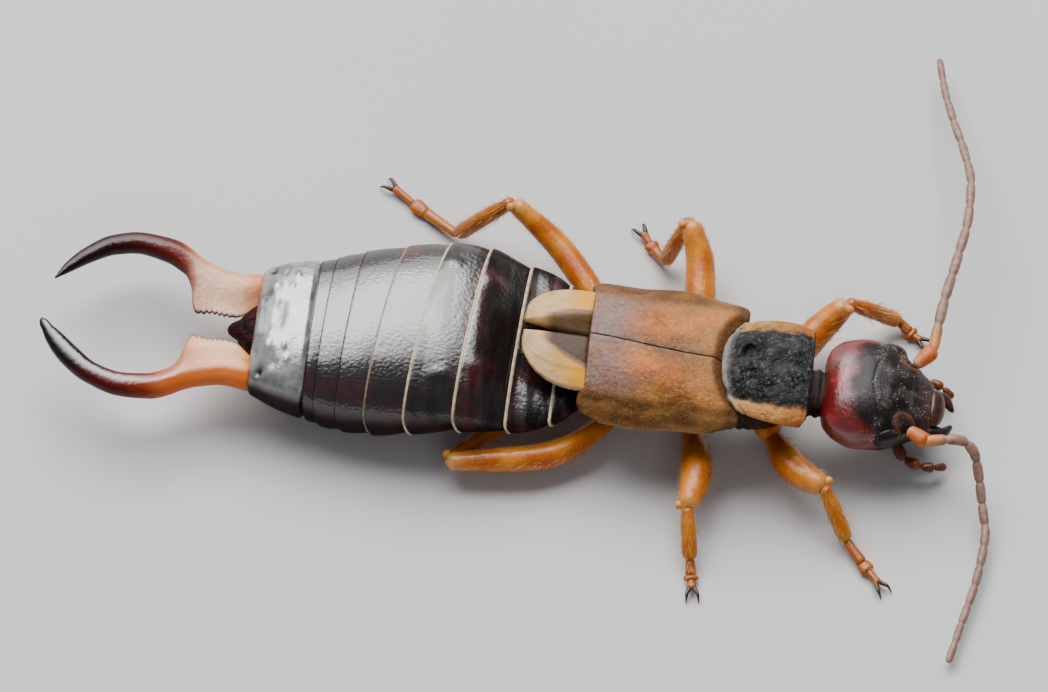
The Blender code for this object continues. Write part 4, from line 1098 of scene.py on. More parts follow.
def pronotum_place(u, v):
    share = 2.0 * v - 1.0
    side = np.abs(share)
    near = share < 0.0
    rear = pronotum_rear(share)
    front = PRONOTUM_FRONT + FRONT_REACH - 0.05 * share ** 4 - 0.07 * step_between(side, 0.88, 1.0)
    x = rear + (front - rear) * u
    half = PRONOTUM_HALF_WIDTH * (1.0 - 0.10 * (1.0 - u) ** 4 - 0.08 * u ** 6)
    flare = near * side ** 2 * (0.05 + 0.15 * u)
    height = PRONOTUM_TOP - 0.24 * side ** 2.4 - 0.10 * u ** 3 - 0.06 * (1.0 - u) ** 3 - 0.4 * flare
    height = height + 0.06 * step_between(side, 0.78, 1.0) - 0.05 * hump(side, 0.72, 0.07)
    on_disc = 1.0 - step_between(side, 0.6, 0.8)
    height = height + 0.07 * hump(u, 0.70, 0.20) * hump(side, 0.32, 0.22) * on_disc
    for middle_share, depth in SHIELD_PITS:
        distance = np.sqrt(((u - PIT_PLACE) * PIT_STRETCH) ** 2 + (share - middle_share) ** 2)
        height = height + depth * (0.035 * hump(distance, 0.19, 0.05) - 0.060 * hump(distance, 0.08, 0.06))
    height = height - 0.030 * hump(share, 0.0, 0.035) * hump(u, 0.50, 0.40)
    height = height - 0.02 * hump(u, 0.95, 0.03) + 0.025 * hump(u, 0.03, 0.035) - 0.02 * hump(u, 0.10, 0.03)
    return np.stack((x, middle(x) + half * share - flare, height), axis=-1)


pronotum_finish, tree, shader = start_finish("neck_shield_slate", 0.42, level=0.08)
slate = blend(tree, patches(tree, 3.0, 0.4, 0.62), (0.004, 0.004, 0.004), (0.030, 0.030, 0.030))
# Grey granules on the disc; the pale specks on them are painted glints.
slate = tint(tree, slate, (0.15, 0.15, 0.145), patches(tree, 13.0, 0.54, 0.68), 0.40)
slate = tint(tree, slate, (0.45, 0.45, 0.43), specks(tree, 34.0, 0.07), 0.22)
towards_front = window(tree, mark_value(tree, "front"), 0.30, 0.95)
buff = blend(tree, towards_front, (0.50, 0.245, 0.070), (0.38, 0.125, 0.024))
buff = tint(tree, buff, (0.24, 0.10, 0.035), patches(tree, 7.0, 0.4, 0.62), 0.5)
border = calculate(tree, "ADD", mark_value(tree, "side"), waver(tree, 5.0, 0.10))
body = blend(tree, window(tree, border, 0.68, 0.80), slate, buff)
rear_rim = window(tree, mark_value(tree, "front"), 0.125, 0.0)
body = tint(tree, body, (0.42, 0.39, 0.36), rear_rim, 0.62)
black_front = times(tree, window(tree, mark_value(tree, "front"), 0.955, 0.985), 0.85)
body = tint(tree, body, (0.016, 0.012, 0.011), black_front)
body = tint(tree, body, (0.10, 0.05, 0.03), mark_value(tree, "under"), 0.8)
paint(tree, shader, body)
add_bump(tree, shader, grain(tree, 12.0, 1.0), 0.018)
add_bump(tree, shader, grain(tree, 30.0, 1.0), 0.006)
add_bump(tree, shader, patches(tree, 6.0, 0.3, 0.7), 0.020)
marks = {"side": lambda u, v: np.abs(2.0 * v - 1.0), "front": lambda u, v: u}
shell = plate_shell(pronotum_place, (1.7, 2.1), 0.14, (72, 96), marks, (1.6, 3.4))
make_piece("neck_shield", shell, pronotum_finish, "pronotum", "pronotum")

# %% [markdown]
# ## The head
# The head gets the most care. It is heart-shaped from above, with swollen cheeks behind the
# eyes, a fine seam down the middle that forks towards the eyes, raised rings round the
# antenna sockets and a groove that sets off the face plate in front. All of it is one skin of
# rings, and the seams and swellings are added to each point by formula.

# %% Head sizes
HEAD_REAR = 5.57
HEAD_FRONT = 7.60
head_width = profile((
    (5.57, 0.52), (5.66, 0.78), (5.92, 0.99), (6.30, 1.07), (6.70, 1.03), (7.02, 0.88), (7.28, 0.71),
    (7.48, 0.58), (7.60, 0.52),
))
head_top = profile((
    (5.57, 1.55), (5.70, 1.78), (6.05, 1.95), (6.40, 2.01), (6.80, 1.94), (7.15, 1.76), (7.45, 1.53),
    (7.60, 1.38),
))
head_bottom = profile(((5.57, 1.00), (5.80, 0.88), (6.20, 0.77), (6.80, 0.73), (7.60, 0.78)))
HEAD_POWER = 2.3
SOCKET_X = 7.16
SOCKET_ACROSS = 0.66
FORK_X = 6.50


def fork_line(side):
    """Place along the head of the forked seam, at a distance from the middle."""
    return FORK_X + 0.26 * side ** 1.15


def head_relief(x, across, upper):
    """Height that seams, swellings and socket rings add to the head."""
    side = np.abs(across)
    relief = -0.022 * hump(across, 0.0, 0.028) * (1.0 - step_between(x, 6.40, 6.56)) * upper
    between_eyes = 1.0 - step_between(side, 0.85, 1.0)
    relief = relief - 0.008 * hump(x, fork_line(side), 0.030) * between_eyes * upper
    relief = relief + 0.030 * hump(x, 6.10, 0.28) * hump(side, 0.46, 0.30) * upper
    relief = relief + 0.022 * hump(x, 6.86, 0.14) * hump(side, 0.28, 0.16) * upper
    relief = relief - 0.030 * hump(x, 7.20, 0.06) * (1.0 - step_between(side, 0.40, 0.55)) * upper
    relief = relief - 0.030 * hump(x, 7.02, 0.09) * hump(side, 0.0, 0.14) * upper
    distance = np.sqrt((x - SOCKET_X) ** 2 + (side - SOCKET_ACROSS) ** 2)
    return relief + 0.035 * hump(distance, 0.17, 0.045) * upper - 0.03 * hump(distance, 0.0, 0.11) * upper


def head_grid(rows, columns):
    across_share, up_share = ring_shares(columns, 2.0 / HEAD_POWER)
    upper = step_between(up_share, -0.05, 0.35)
    places = [(HEAD_REAR + 0.02, 0.30), (HEAD_REAR, 0.62), (HEAD_REAR, 0.90)]
    places += [(x, 1.0) for x in np.linspace(HEAD_REAR + 0.03, HEAD_FRONT - 0.03, rows)]
    places += [(HEAD_FRONT, 0.93), (HEAD_FRONT + 0.02, 0.80), (HEAD_FRONT + 0.03, 0.45)]
    grid, marks = [], {"forward": [], "cheek": [], "upper": [], "socket": [], "hair": [], "fork": []}
    for x, shrink in places:
        top, bottom = float(head_top(x)), float(head_bottom(x))
        waist = bottom + WAIST_SHARE * (top - bottom)
        across = float(head_width(x)) * across_share * shrink
        notch = 0.05 * hump(across, 0.0, 0.30) * (1.0 - float(step_between(x, 5.57, 5.90)))
        rise = np.where(up_share > 0.0, top - waist, waist - bottom)
        z = waist + up_share * rise * shrink + head_relief(x, across, upper)
        bulge = 1.0 + 0.03 * hump(x, 6.15, 0.25) * (1.0 - upper)
        grid.append(np.stack((x + notch, float(head_axis(x)) + across * bulge, z), axis=1))
        marks["forward"].append(np.full(columns, (x - HEAD_REAR) / (HEAD_FRONT - HEAD_REAR)))
        marks["cheek"].append(step_between(np.abs(across_share), 0.62, 0.95) * np.ones(columns))
        marks["upper"].append(upper)
        from_socket = np.sqrt((x - SOCKET_X) ** 2 + (np.abs(across) - SOCKET_ACROSS) ** 2)
        marks["socket"].append(hump(from_socket, 0.17, 0.05) * upper)
        marks["hair"].append(upper * float(step_between(x, 6.25, 6.55)) * (0.4 + hump(x, 6.65, 0.2)))
        marks["fork"].append(upper * hump(x, fork_line(np.abs(across)), 0.045))
    return as_arrays(grid, marks)


# %% [markdown]
# The skull is deep ruby at the back and on the cheeks and black over the brow. The border
# between them is cloudy. Pale dust and short hairs sit on the brow, and the rear has a clear
# coat that mirrors the sky softly.

# %% Head finish
head_finish, tree, shader = start_finish("skull_ruby", 0.45, level=0.09, coat_roughness=0.22)
forward = mark_value(tree, "forward")
reach = calculate(tree, "ADD", forward, waver(tree, 2.4, 0.14))
reach = calculate(tree, "SUBTRACT", reach, times(tree, mark_value(tree, "cheek"), 0.26))
black = window(tree, reach, 0.16, 0.36)
ruby = blend(tree, patches(tree, 3.0, 0.35, 0.7), (0.110, 0.004, 0.003), (0.230, 0.012, 0.008))
body = blend(tree, black, ruby, (0.009, 0.006, 0.006))
front_brown = times(tree, window(tree, forward, 0.80, 1.0), 0.5)
body = tint(tree, body, (0.060, 0.012, 0.006), front_brown)
hair_zone = window(tree, forward, 0.30, 0.48)
dusty = times(tree, hair_zone, mark_value(tree, "upper"))
clouds = times(tree, patches(tree, 3.0, 0.45, 0.65), dusty)
body = tint(tree, body, (0.30, 0.29, 0.28), clouds, 0.09)
powdered = calculate(tree, "MAXIMUM", clouds, mark_value(tree, "fork"))
dust = times(tree, specks(tree, 26.0, 0.30), powdered)
body = tint(tree, body, (0.42, 0.39, 0.36), dust, 0.5)
body = tint(tree, body, (0.20, 0.075, 0.040), mark_value(tree, "socket"), 0.5)
paint(tree, shader, body)
coat(tree, shader, blend_value(tree, window(tree, reach, 0.06, 0.34), 0.66, 0.05))
add_bump(tree, shader, grain(tree, 12.0, 0.8), 0.005)
add_bump(tree, shader, grain(tree, 30.0, 0.8), 0.003)
points, marks = head_grid(130, 150)
make_piece("head_shell", ring_shell(points, marks), head_finish, "head_shell", "head")

# %% [markdown]
# ## The eyes
# A compound eye is a dome of six-sided lenses. Geometry Nodes make it by a rule: an
# icosphere has six neighbours at nearly every point, so its dual mesh is a net of hexagons,
# and pushing each face out a little gives the lenses.

# %% Node tree for the eyes


def geometry_tree(name, inputs):
    """Empty Geometry Nodes tree with named inputs; returns the tree and its two end nodes."""
    tree = bpy.data.node_groups.new(name, "GeometryNodeTree")
    tree.interface.new_socket(name="Geometry", in_out="INPUT", socket_type="NodeSocketGeometry")
    for label, kind, value in inputs:
        socket = tree.interface.new_socket(name=label, in_out="INPUT", socket_type=kind)
        if value is not None:
            socket.default_value = value
    tree.interface.new_socket(name="Geometry", in_out="OUTPUT", socket_type="NodeSocketGeometry")
    return tree, tree.nodes.new("NodeGroupInput"), tree.nodes.new("NodeGroupOutput")


def set_input(modifier, label, value):
    """Set a modifier's input by its socket's identifier."""
    for item in modifier.node_group.interface.items_tree:
        if item.item_type == "SOCKET" and item.in_out == "INPUT" and item.name == label:
            modifier[item.identifier] = value
            return
    raise KeyError(label)


def chain(tree, *nodes):
    """Link each node's first output to the next node's first input."""
    for first, second in zip(nodes, nodes[1:]):
        tree.links.new(first.outputs[0], second.inputs[0])


def close_tree(tree, source, target, *nodes):
    """Chain the given nodes, make their result real, paint it and send it out."""
    realised = add_node(tree, "GeometryNodeRealizeInstances")
    painted = add_node(tree, "GeometryNodeSetMaterial")
    chain(tree, *nodes, realised, painted)
    tree.links.new(source.outputs["Finish"], painted.inputs["Material"])
    tree.links.new(painted.outputs[0], target.inputs[0])
    print("tree:", tree.name)


eye_tree, source, target = geometry_tree("lens_dome", (
    ("Radii", "NodeSocketVector", (0.00028, 0.00022, 0.00025)),
    ("Lens depth", "NodeSocketFloat", 0.000006),
    ("Finish", "NodeSocketMaterial", None),
))
sphere = add_node(eye_tree, "GeometryNodeMeshIcoSphere")
sphere.inputs["Radius"].default_value = 1.0
sphere.inputs["Subdivisions"].default_value = 5
net = add_node(eye_tree, "GeometryNodeDualMesh")
sized = add_node(eye_tree, "GeometryNodeTransform")
eye_tree.links.new(source.outputs["Radii"], sized.inputs["Scale"])
lenses = add_node(eye_tree, "GeometryNodeExtrudeMesh", mode="FACES")
eye_tree.links.new(source.outputs["Lens depth"], lenses.inputs["Offset Scale"])
narrowed = add_node(eye_tree, "GeometryNodeScaleElements", domain="FACE")
eye_tree.links.new(lenses.outputs["Top"], narrowed.inputs["Selection"])
narrowed.inputs["Scale"].default_value = 0.72
close_tree(eye_tree, source, target, sphere, net, sized, lenses, narrowed)

# %% Grow a mesh from a node tree


def grow(name, mesh, tree, settings, finish, slot, *nodes):
    """Evaluate a node tree on a mesh and keep the result as a plain piece."""
    base = bpy.data.objects.new(name + "_source", mesh)
    bpy.context.scene.collection.objects.link(base)
    modifier = base.modifiers.new("nodes", "NODES")
    modifier.node_group = tree
    for label, value in settings.items():
        set_input(modifier, label, value)
    set_input(modifier, "Finish", finish)
    bpy.context.view_layer.update()
    evaluated = base.evaluated_get(bpy.context.evaluated_depsgraph_get())
    result = bpy.data.meshes.new_from_object(evaluated)
    base.modifiers.remove(modifier)
    bpy.data.objects.remove(base, do_unlink=True)
    result.name = name
    return keep_piece(name, result, nodes)


# %% [markdown]
# Each eye sits in the side of the head, turned a little forward. Its black is as glossy as
# wet ink, with a trace of brown in soft patches.

# %% Eyes
EYE_RADII = (0.285, 0.215, 0.255)
EYE_SINK = 0.84
EYE_TURN = math.radians(-18.0)
eye_finish, tree, shader = start_finish("eye_ink", 0.16)
paint(tree, shader, blend(tree, patches(tree, 12.0), (0.006, 0.005, 0.005), (0.022, 0.012, 0.009)))
add_bump(tree, shader, grain(tree, 60.0, 0.2), 0.001)
for side_name, side in SIDES:
    empty = bpy.data.meshes.new("empty")
    settings = {"Radii": tuple(radius * MM for radius in EYE_RADII), "Lens depth": 0.004 * MM}
    eye = grow("eye_dome_" + side_name, empty, eye_tree, settings, eye_finish, "eye", "eye_" + side_name)
    across = side * float(head_width(EYE_X)) * EYE_SINK
    spot = Vector((EYE_X, float(head_axis(EYE_X)) + across, EYE_HEIGHT)) + Vector(SHIFT)
    eye.data.transform(Matrix.Translation(spot * MM) @ Matrix.Rotation(side * EYE_TURN, 4, "Z"))

# %% [markdown]
# ## Limbs
# Legs and mouth feelers are chains of short tubes. Each link swells and narrows in its own
# way, has rounded ends sunk into its neighbours, and carries marks for its place along the
# link and for the hair it bears. A link follows a smooth curve, and its rings keep square to it.

# %% Limb helpers


def curve_through(points, count):
    """Evenly spaced points on a smooth curve through a few places."""
    points = np.array(points, float)
    lengths = np.concatenate(((0.0,), np.cumsum(np.linalg.norm(np.diff(points, axis=0), axis=1))))
    steps = np.linspace(0.0, lengths[-1], count)
    return np.stack([profile(tuple(zip(lengths, points[:, axis])))(steps) for axis in range(3)], axis=1)


def link_shell(points, radii, columns=20, flatness=1.0, rows=26, marks=None):
    """Closed link along a few points: radii are (share, radius) stations, flatness scales its width."""
    path = curve_through(points, rows)
    size = profile(radii)
    forward = np.gradient(path, axis=0)
    forward /= np.linalg.norm(forward, axis=1, keepdims=True)
    shares = np.linspace(0.0, 1.0, rows)
    total = float(np.linalg.norm(np.diff(path, axis=0), axis=1).sum())
    angle = ring_angles(columns)
    grid = []
    for place, way, share in zip(path, forward, shares):
        aside = np.cross((0.0, 0.0, 1.0), way)
        if np.linalg.norm(aside) < 1e-6:
            aside = np.array((0.0, 1.0, 0.0))
        aside /= np.linalg.norm(aside)
        above = np.cross(way, aside)
        radius = float(size(share))
        end = min(share, 1.0 - share) * total
        cap = math.sqrt(max(0.0, 1.0 - max(0.0, 1.0 - end / (0.8 * radius)) ** 2))
        radius *= 0.15 + 0.85 * cap
        grid.append(place + radius * (
            flatness * np.cos(angle)[:, None] * aside + np.sin(angle)[:, None] * above
        ))
    values = {"along": np.repeat(shares[:, None], columns, axis=1)}
    for name, value in (marks or {}).items():
        values[name] = np.full((rows, columns), value)
    shell = ring_shell(np.array(grid), values)
    heads = np.repeat(forward, columns, axis=0)
    shell["lie"] = np.concatenate((heads, forward[:1], forward[-1:]))
    return shell


# %% [markdown]
# ## The legs
# Each leg has a stout hip, a small second joint, a thick thigh, a straight shin and a foot of
# three joints, the middle one heart-shaped, with two claws. The hips stand under the thorax,
# and each leg's bends are read from the photograph, so the six differ.

# %% Leg sizes
LEGS = {
    "front_left": ((4.62, 0.45), (5.42, 1.34, 0.86), (5.86, 1.68, 1.25), (6.82, 1.96), (7.26, 1.66)),
    "front_right": ((4.62, -0.45), (5.20, -1.62, 0.80), (5.80, -2.03, 0.95), (6.31, -2.72), (6.98, -3.47)),
    "mid_left": ((3.20, 0.46), (3.04, 2.30, 0.96), (2.76, 2.99, 1.40), (2.34, 2.69), (1.87, 3.30)),
    "mid_right": ((3.20, -0.46), (3.43, -1.95, 0.76), (3.34, -2.68, 0.80), (3.49, -3.46), (3.58, -3.98)),
    "hind_left": ((2.05, 0.46), (0.29, 2.46, 1.00), (-0.57, 2.94, 1.50), (-1.60, 2.82), (-2.90, 3.72)),
    "hind_right": ((2.05, -0.46), (0.65, -1.78, 0.58), (-1.20, -2.15, 0.62), (0.00, -0.85), (1.15, -0.35)),
}
FEMUR_START = 0.50
ANKLE_HEIGHT = 0.24
FOOT_HEIGHT = 0.13
FEMUR_STATIONS = ((0.0, 0.16), (0.14, 0.22), (0.45, 0.30), (0.72, 0.275), (0.92, 0.215), (1.0, 0.19))
HIND_SLIMMING = 0.86
TIBIA_STATIONS = ((0.0, 0.135), (0.10, 0.125), (0.35, 0.155), (0.80, 0.160), (1.0, 0.140))
FOOT_LINKS = (
    (0.50, ((0.0, 0.085), (0.5, 0.095), (1.0, 0.115)), 1.0),
    (0.20, ((0.0, 0.068), (0.7, 0.088), (1.0, 0.070)), 1.65),
    (0.30, ((0.0, 0.060), (0.7, 0.078), (1.0, 0.092)), 1.0),
)
CLAW_LENGTH = 0.24
CLAW_TIP_HEIGHT = 0.015
CLAW_STATIONS = ((0.0, 0.050), (0.4, 0.036), (0.8, 0.018), (1.0, 0.010))
COXA_STATIONS = ((0.0, 0.30), (0.5, 0.30), (1.0, 0.20))
TROCHANTER_STATIONS = ((0.0, 0.17), (0.5, 0.20), (1.0, 0.18))
KNEE_HALF_LENGTH = 0.225
KNEE_STATIONS = ((0.0, 0.085), (1.0, 0.085))


def claw_shells(toe, way):
    """Two claws that curve down to the floor."""
    aside = np.array((-way[1], way[0], 0.0))
    shells = []
    for side in (1, -1):
        bend = toe + 0.5 * CLAW_LENGTH * way + 0.10 * side * aside + np.array((0.0, 0.0, 0.02))
        tip = toe + CLAW_LENGTH * way + 0.12 * side * aside
        tip[2] = CLAW_TIP_HEIGHT
        start = toe + 0.03 * side * aside - 0.05 * way
        shells.append(link_shell([start, bend, tip], CLAW_STATIONS, 10, 1.0, 14, {"claw": 1.0}))
    return shells


def leg_shells(name):
    (hip_x, hip_across), thigh, knee, ankle, toe = LEGS[name]
    hip = np.array((hip_x, float(middle(hip_x)) + hip_across, FEMUR_START))
    thigh, knee = np.array(thigh), np.array(knee)
    ankle = np.array((*ankle, ANKLE_HEIGHT))
    toe = np.array((*toe, FOOT_HEIGHT))
    out = (thigh - hip) / np.linalg.norm(thigh - hip)
    coxa_top = hip + np.array((0.0, -0.10 * np.sign(hip_across), 0.42))
    coxa = link_shell([coxa_top, hip + (0, 0, 0.12), hip - (0, 0, 0.06)], COXA_STATIONS, 24, 0.9)
    trochanter = link_shell([hip - 0.10 * out, hip + 0.30 * out], TROCHANTER_STATIONS, 20)
    slim = HIND_SLIMMING if name.startswith("hind") else 1.0
    stations = [(share, slim * radius) for share, radius in FEMUR_STATIONS]
    thigh_path = [hip + 0.20 * out, thigh, knee + 0.02 * out]
    femur = link_shell(thigh_path, stations, 28, 0.96, 44, {"hair": 0.7, "femur": 1.0})
    shin_way = (ankle - knee) / np.linalg.norm(ankle - knee)
    bow = 0.5 * (knee + ankle) + np.array((0.0, 0.0, 0.03))
    shin_path = [knee - 0.03 * shin_way, bow, ankle]
    tibia = link_shell(shin_path, TIBIA_STATIONS, 22, 0.92, 36, {"hair": 1.0, "shin": 1.0})
    hinge = np.cross(out, shin_way)
    hinge *= KNEE_HALF_LENGTH * slim / np.linalg.norm(hinge)
    joint = knee - 0.09 * out
    pin = link_shell([joint - hinge, joint + hinge], KNEE_STATIONS, 18, 1.0, 20, {"knee": 1.0})
    shells = [coxa, trochanter, femur, tibia, pin]
    way = toe - ankle
    start, done = ankle, 0.0
    for share, stations, wideness in FOOT_LINKS:
        done += share
        end = ankle + way * done
        end[2] = FOOT_HEIGHT
        back = (end - start) / np.linalg.norm(end - start)
        path = [start - 0.03 * back, end + 0.02 * back]
        shells.append(link_shell(path, stations, 18, wideness, 18, {"hair": 1.0, "foot": 1.0}))
        start = end
    level = np.array((way[0], way[1], 0.0))
    return shells + claw_shells(toe + 0.02 * level, level / np.linalg.norm(level))


def make_limb(name, shells, finish, slot, *nodes):
    """Piece from several links; its mesh also carries the direction in which hair lies."""
    joined = join_shells(shells)
    hair_lies = np.concatenate([shell["lie"] for shell in shells])
    low = joined["points"][:, 2].min()
    joined["points"][:, 2] = np.maximum(joined["points"][:, 2], 0.0)
    piece = make_piece(name, joined, finish, slot, *nodes)
    lies = {}
    for place, lie in zip((joined["points"] + SHIFT) * MM, hair_lies):
        lies[tuple(np.round(place, 7))] = lie
    layer = piece.data.attributes.new("lie", "FLOAT_VECTOR", "POINT")
    for vertex, item in zip(piece.data.vertices, layer.data):
        item.vector = lies.get(tuple(np.round(np.array(vertex.co, dtype=float), 7)), (0.0, 0.0, -1.0))
    print(name, "lowest point", round(float(low), 3))
    return piece


# %% [markdown]
# Leg cuticle is clear amber: orange in the depth of the thigh, paler at the knees, browner in
# the feet, with dark claws, and each thigh is darkened at its root as painted shade under the
# body. A little light scatters under the surface, which is set on the shader's own socket because
# it is the same all over.

# %% Leg finish


def amber_finish(name, deep, light, knee, foot):
    """Clear amber cuticle: deep and light clouds, paler knees, browner feet and dark claws."""
    material, tree, shader = start_finish(name, 0.28, level=0.30)
    amber = blend(tree, patches(tree, (2.0, 2.0, 2.0), 0.35, 0.7), deep, light)
    pale = times(tree, window(tree, mark_value(tree, "along"), 0.84, 1.0), mark_value(tree, "femur"))
    pale = calculate(tree, "MAXIMUM", pale, times(tree, mark_value(tree, "knee"), 0.8))
    body = blend(tree, times(tree, pale, 0.6), amber, knee)
    body = tint(tree, body, foot, mark_value(tree, "shin"), 0.35)
    # Painted shade: the root of each thigh, under the body, is darkened towards the brown of the feet.
    root = times(tree, window(tree, mark_value(tree, "along"), 0.22, 0.0), mark_value(tree, "femur"))
    body = tint(tree, body, foot, root, 0.5)
    body = tint(tree, body, foot, mark_value(tree, "foot"), 0.6)
    body = tint(tree, body, (0.035, 0.010, 0.005), mark_value(tree, "claw"))
    body = tint(tree, body, foot, patches(tree, 12.0, 0.5, 0.75), 0.25)
    paint(tree, shader, body)
    shader.inputs["Subsurface Weight"].default_value = 0.25
    shader.inputs["Subsurface Scale"].default_value = 0.00025
    shader.inputs["Subsurface Radius"].default_value = (1.0, 0.4, 0.1)
    add_bump(tree, shader, grain(tree, 14.0, 0.6), 0.005)
    add_bump(tree, shader, grain(tree, 34.0, 0.5), 0.002)
    return material


leg_finish = amber_finish(
    "leg_amber", (0.46, 0.100, 0.003), (0.68, 0.235, 0.010), (0.72, 0.36, 0.10), (0.24, 0.058, 0.006),
)
palp_finish = amber_finish(
    "palp_umber", (0.12, 0.030, 0.006), (0.22, 0.070, 0.014), (0.25, 0.10, 0.03), (0.10, 0.030, 0.008),
)
for name in LEGS:
    make_limb("leg_amber_" + name, leg_shells(name), leg_finish, "legs", "leg_" + name)

# %% [markdown]
# ## The antennae
# A feeler is a rule more than a shape: a thick first joint and thirteen more on a curved path,
# each swollen in its middle and pinched at its ends, thinner towards the tip. Geometry Nodes
# sweep a circle along the path, and a few sums on the place along it give the radius.

# %% Node tree for the antennae
feeler_tree, source, target = geometry_tree("jointed_feeler", (
    ("Joints", "NodeSocketFloat", 14.0),
    ("Root radius", "NodeSocketFloat", 0.00011),
    ("Tip radius", "NodeSocketFloat", 0.00007),
    ("Pinch", "NodeSocketFloat", 0.35),
    ("Finish", "NodeSocketMaterial", None),
))
path_curve = add_node(feeler_tree, "GeometryNodeMeshToCurve")
feeler_tree.links.new(source.outputs["Geometry"], path_curve.inputs[0])
finer = add_node(feeler_tree, "GeometryNodeResampleCurve")
finer.inputs["Count"].default_value = 240
place_on = add_node(feeler_tree, "GeometryNodeSplineParameter").outputs["Factor"]
joint = calculate(feeler_tree, "FRACT", times(feeler_tree, place_on, source.outputs["Joints"]))
off_centre = calculate(feeler_tree, "ABSOLUTE", calculate(feeler_tree, "SUBTRACT", joint, 0.5))
pinched = calculate(feeler_tree, "POWER", times(feeler_tree, off_centre, 2.0), 5.0)
pinched = times(feeler_tree, pinched, source.outputs["Pinch"])
thickness = calculate(feeler_tree, "SUBTRACT", source.outputs["Tip radius"], source.outputs["Root radius"])
thickness = calculate(feeler_tree, "MULTIPLY_ADD", thickness, place_on, source.outputs["Root radius"])
thickness = times(feeler_tree, thickness, calculate(feeler_tree, "SUBTRACT", 1.0, pinched))
thick = add_node(feeler_tree, "GeometryNodeSetCurveRadius")
feeler_tree.links.new(thickness, thick.inputs["Radius"])
swept = add_node(feeler_tree, "GeometryNodeCurveToMesh")
circle = add_node(feeler_tree, "GeometryNodeCurvePrimitiveCircle")
circle.inputs["Resolution"].default_value = 16
circle.inputs["Radius"].default_value = 1.0
feeler_tree.links.new(circle.outputs[0], swept.inputs["Profile Curve"])
swept.inputs["Fill Caps"].default_value = True
if "Scale" in swept.inputs:
    feeler_tree.links.new(thickness, swept.inputs["Scale"])
stored = add_node(feeler_tree, "GeometryNodeStoreNamedAttribute", data_type="FLOAT", domain="POINT")
stored.inputs["Name"].default_value = "along"
feeler_tree.links.new(place_on, stored.inputs["Value"])
smooth = add_node(feeler_tree, "GeometryNodeSetShadeSmooth")
close_tree(feeler_tree, source, target, path_curve, finer, thick, stored, swept, smooth)

# %% [markdown]
# The first joint, the scape, is the thickest and bright orange. The others are a dull
# pinkish brown with a fine grain. The paths repeat the block model's own.

# %% Antennae
ANTENNA_PATHS = {
    "left": (
        (7.56, 0.80, 1.46), (7.62, 1.69, 1.55), (7.78, 2.70, 1.50), (7.91, 3.73, 1.40), (7.89, 4.43, 1.30),
        (7.72, 5.17, 1.10), (7.42, 6.01, 0.90), (7.20, 6.75, 0.70), (7.04, 7.50, 0.50),
    ),
    "right": (
        (7.60, -1.12, 1.38), (7.88, -1.02, 1.38), (8.20, -0.96, 1.32), (8.46, -1.06, 1.14),
        (8.60, -1.36, 0.82), (8.72, -1.80, 0.50), (8.84, -2.40, 0.33), (8.77, -3.20, 0.27),
        (8.58, -4.13, 0.24), (8.41, -4.96, 0.22),
    ),
}
SCAPE_STATIONS = ((0.0, 0.10), (0.20, 0.12), (0.75, 0.155), (1.0, 0.135))


def line_mesh(points):
    """Mesh of single edges along a path, in the model's frame."""
    mesh = bpy.data.meshes.new("path")
    count = len(points)
    mesh.from_pydata(((points + SHIFT) * MM).tolist(), [(i, i + 1) for i in range(count - 1)], [])
    return mesh


antenna_finish, tree, shader = start_finish("antenna_brown", 0.46, level=0.3)
brown = blend(tree, patches(tree, 9.0, 0.35, 0.7), (0.20, 0.105, 0.075), (0.33, 0.19, 0.14))
body = blend(tree, window(tree, mark_value(tree, "along"), 0.10, 0.0), brown, (0.62, 0.20, 0.045))
root_ring = times(tree, window(tree, mark_value(tree, "along"), 0.22, 0.08), mark_value(tree, "scape"))
body = tint(tree, body, (0.50, 0.105, 0.012), mark_value(tree, "scape"))
body = tint(tree, body, (0.50, 0.30, 0.20), root_ring, 0.7)
paint(tree, shader, body)
add_bump(tree, shader, grain(tree, 40.0, 0.8), 0.004)
for side_name, side in SIDES:
    socket_z = float(head_top(SOCKET_X)) - 0.30
    socket = (SOCKET_X + 0.06, float(head_axis(SOCKET_X)) + side * SOCKET_ACROSS, socket_z)
    route = ANTENNA_PATHS[side_name]
    elbow = np.array(route[0])
    scape_way = (elbow - socket) / np.linalg.norm(elbow - np.array(socket))
    scape = link_shell([socket, elbow], SCAPE_STATIONS, 22, 1.0, 24, {"scape": 1.0, "hair": 0.6})
    make_limb("scape_" + side_name, [scape], antenna_finish, "antennae")
    path = curve_through([elbow - 0.06 * scape_way, *route[1:]], 80)
    settings = {"Joints": 13.0, "Root radius": 0.105 * MM, "Tip radius": 0.070 * MM, "Pinch": 0.36}
    grow(
        "feeler_" + side_name, line_mesh(path), feeler_tree, settings, antenna_finish, "antennae",
        "antenna_" + side_name,
    )

# %% [markdown]
# ## The mouthparts
# Under the brow sit an upper lip, a pair of dark pointed jaws, a lower lip, and two pairs of
# jointed feelers that hang beside them. They are small links again.

# %% Mouthparts
mouth_finish, tree, shader = start_finish("mouth_brown", 0.30, level=0.4)
mouth = blend(tree, patches(tree, 5.0, 0.35, 0.7), (0.022, 0.006, 0.004), (0.080, 0.018, 0.008))
dark_end = window(tree, mark_value(tree, "along"), 0.70, 1.0)
paint(tree, shader, tint(tree, mouth, (0.020, 0.008, 0.006), dark_end))
add_bump(tree, shader, grain(tree, 30.0, 0.5), 0.003)


def face_point(x, across, z):
    return np.array((x, float(head_axis(x)) + across, z))


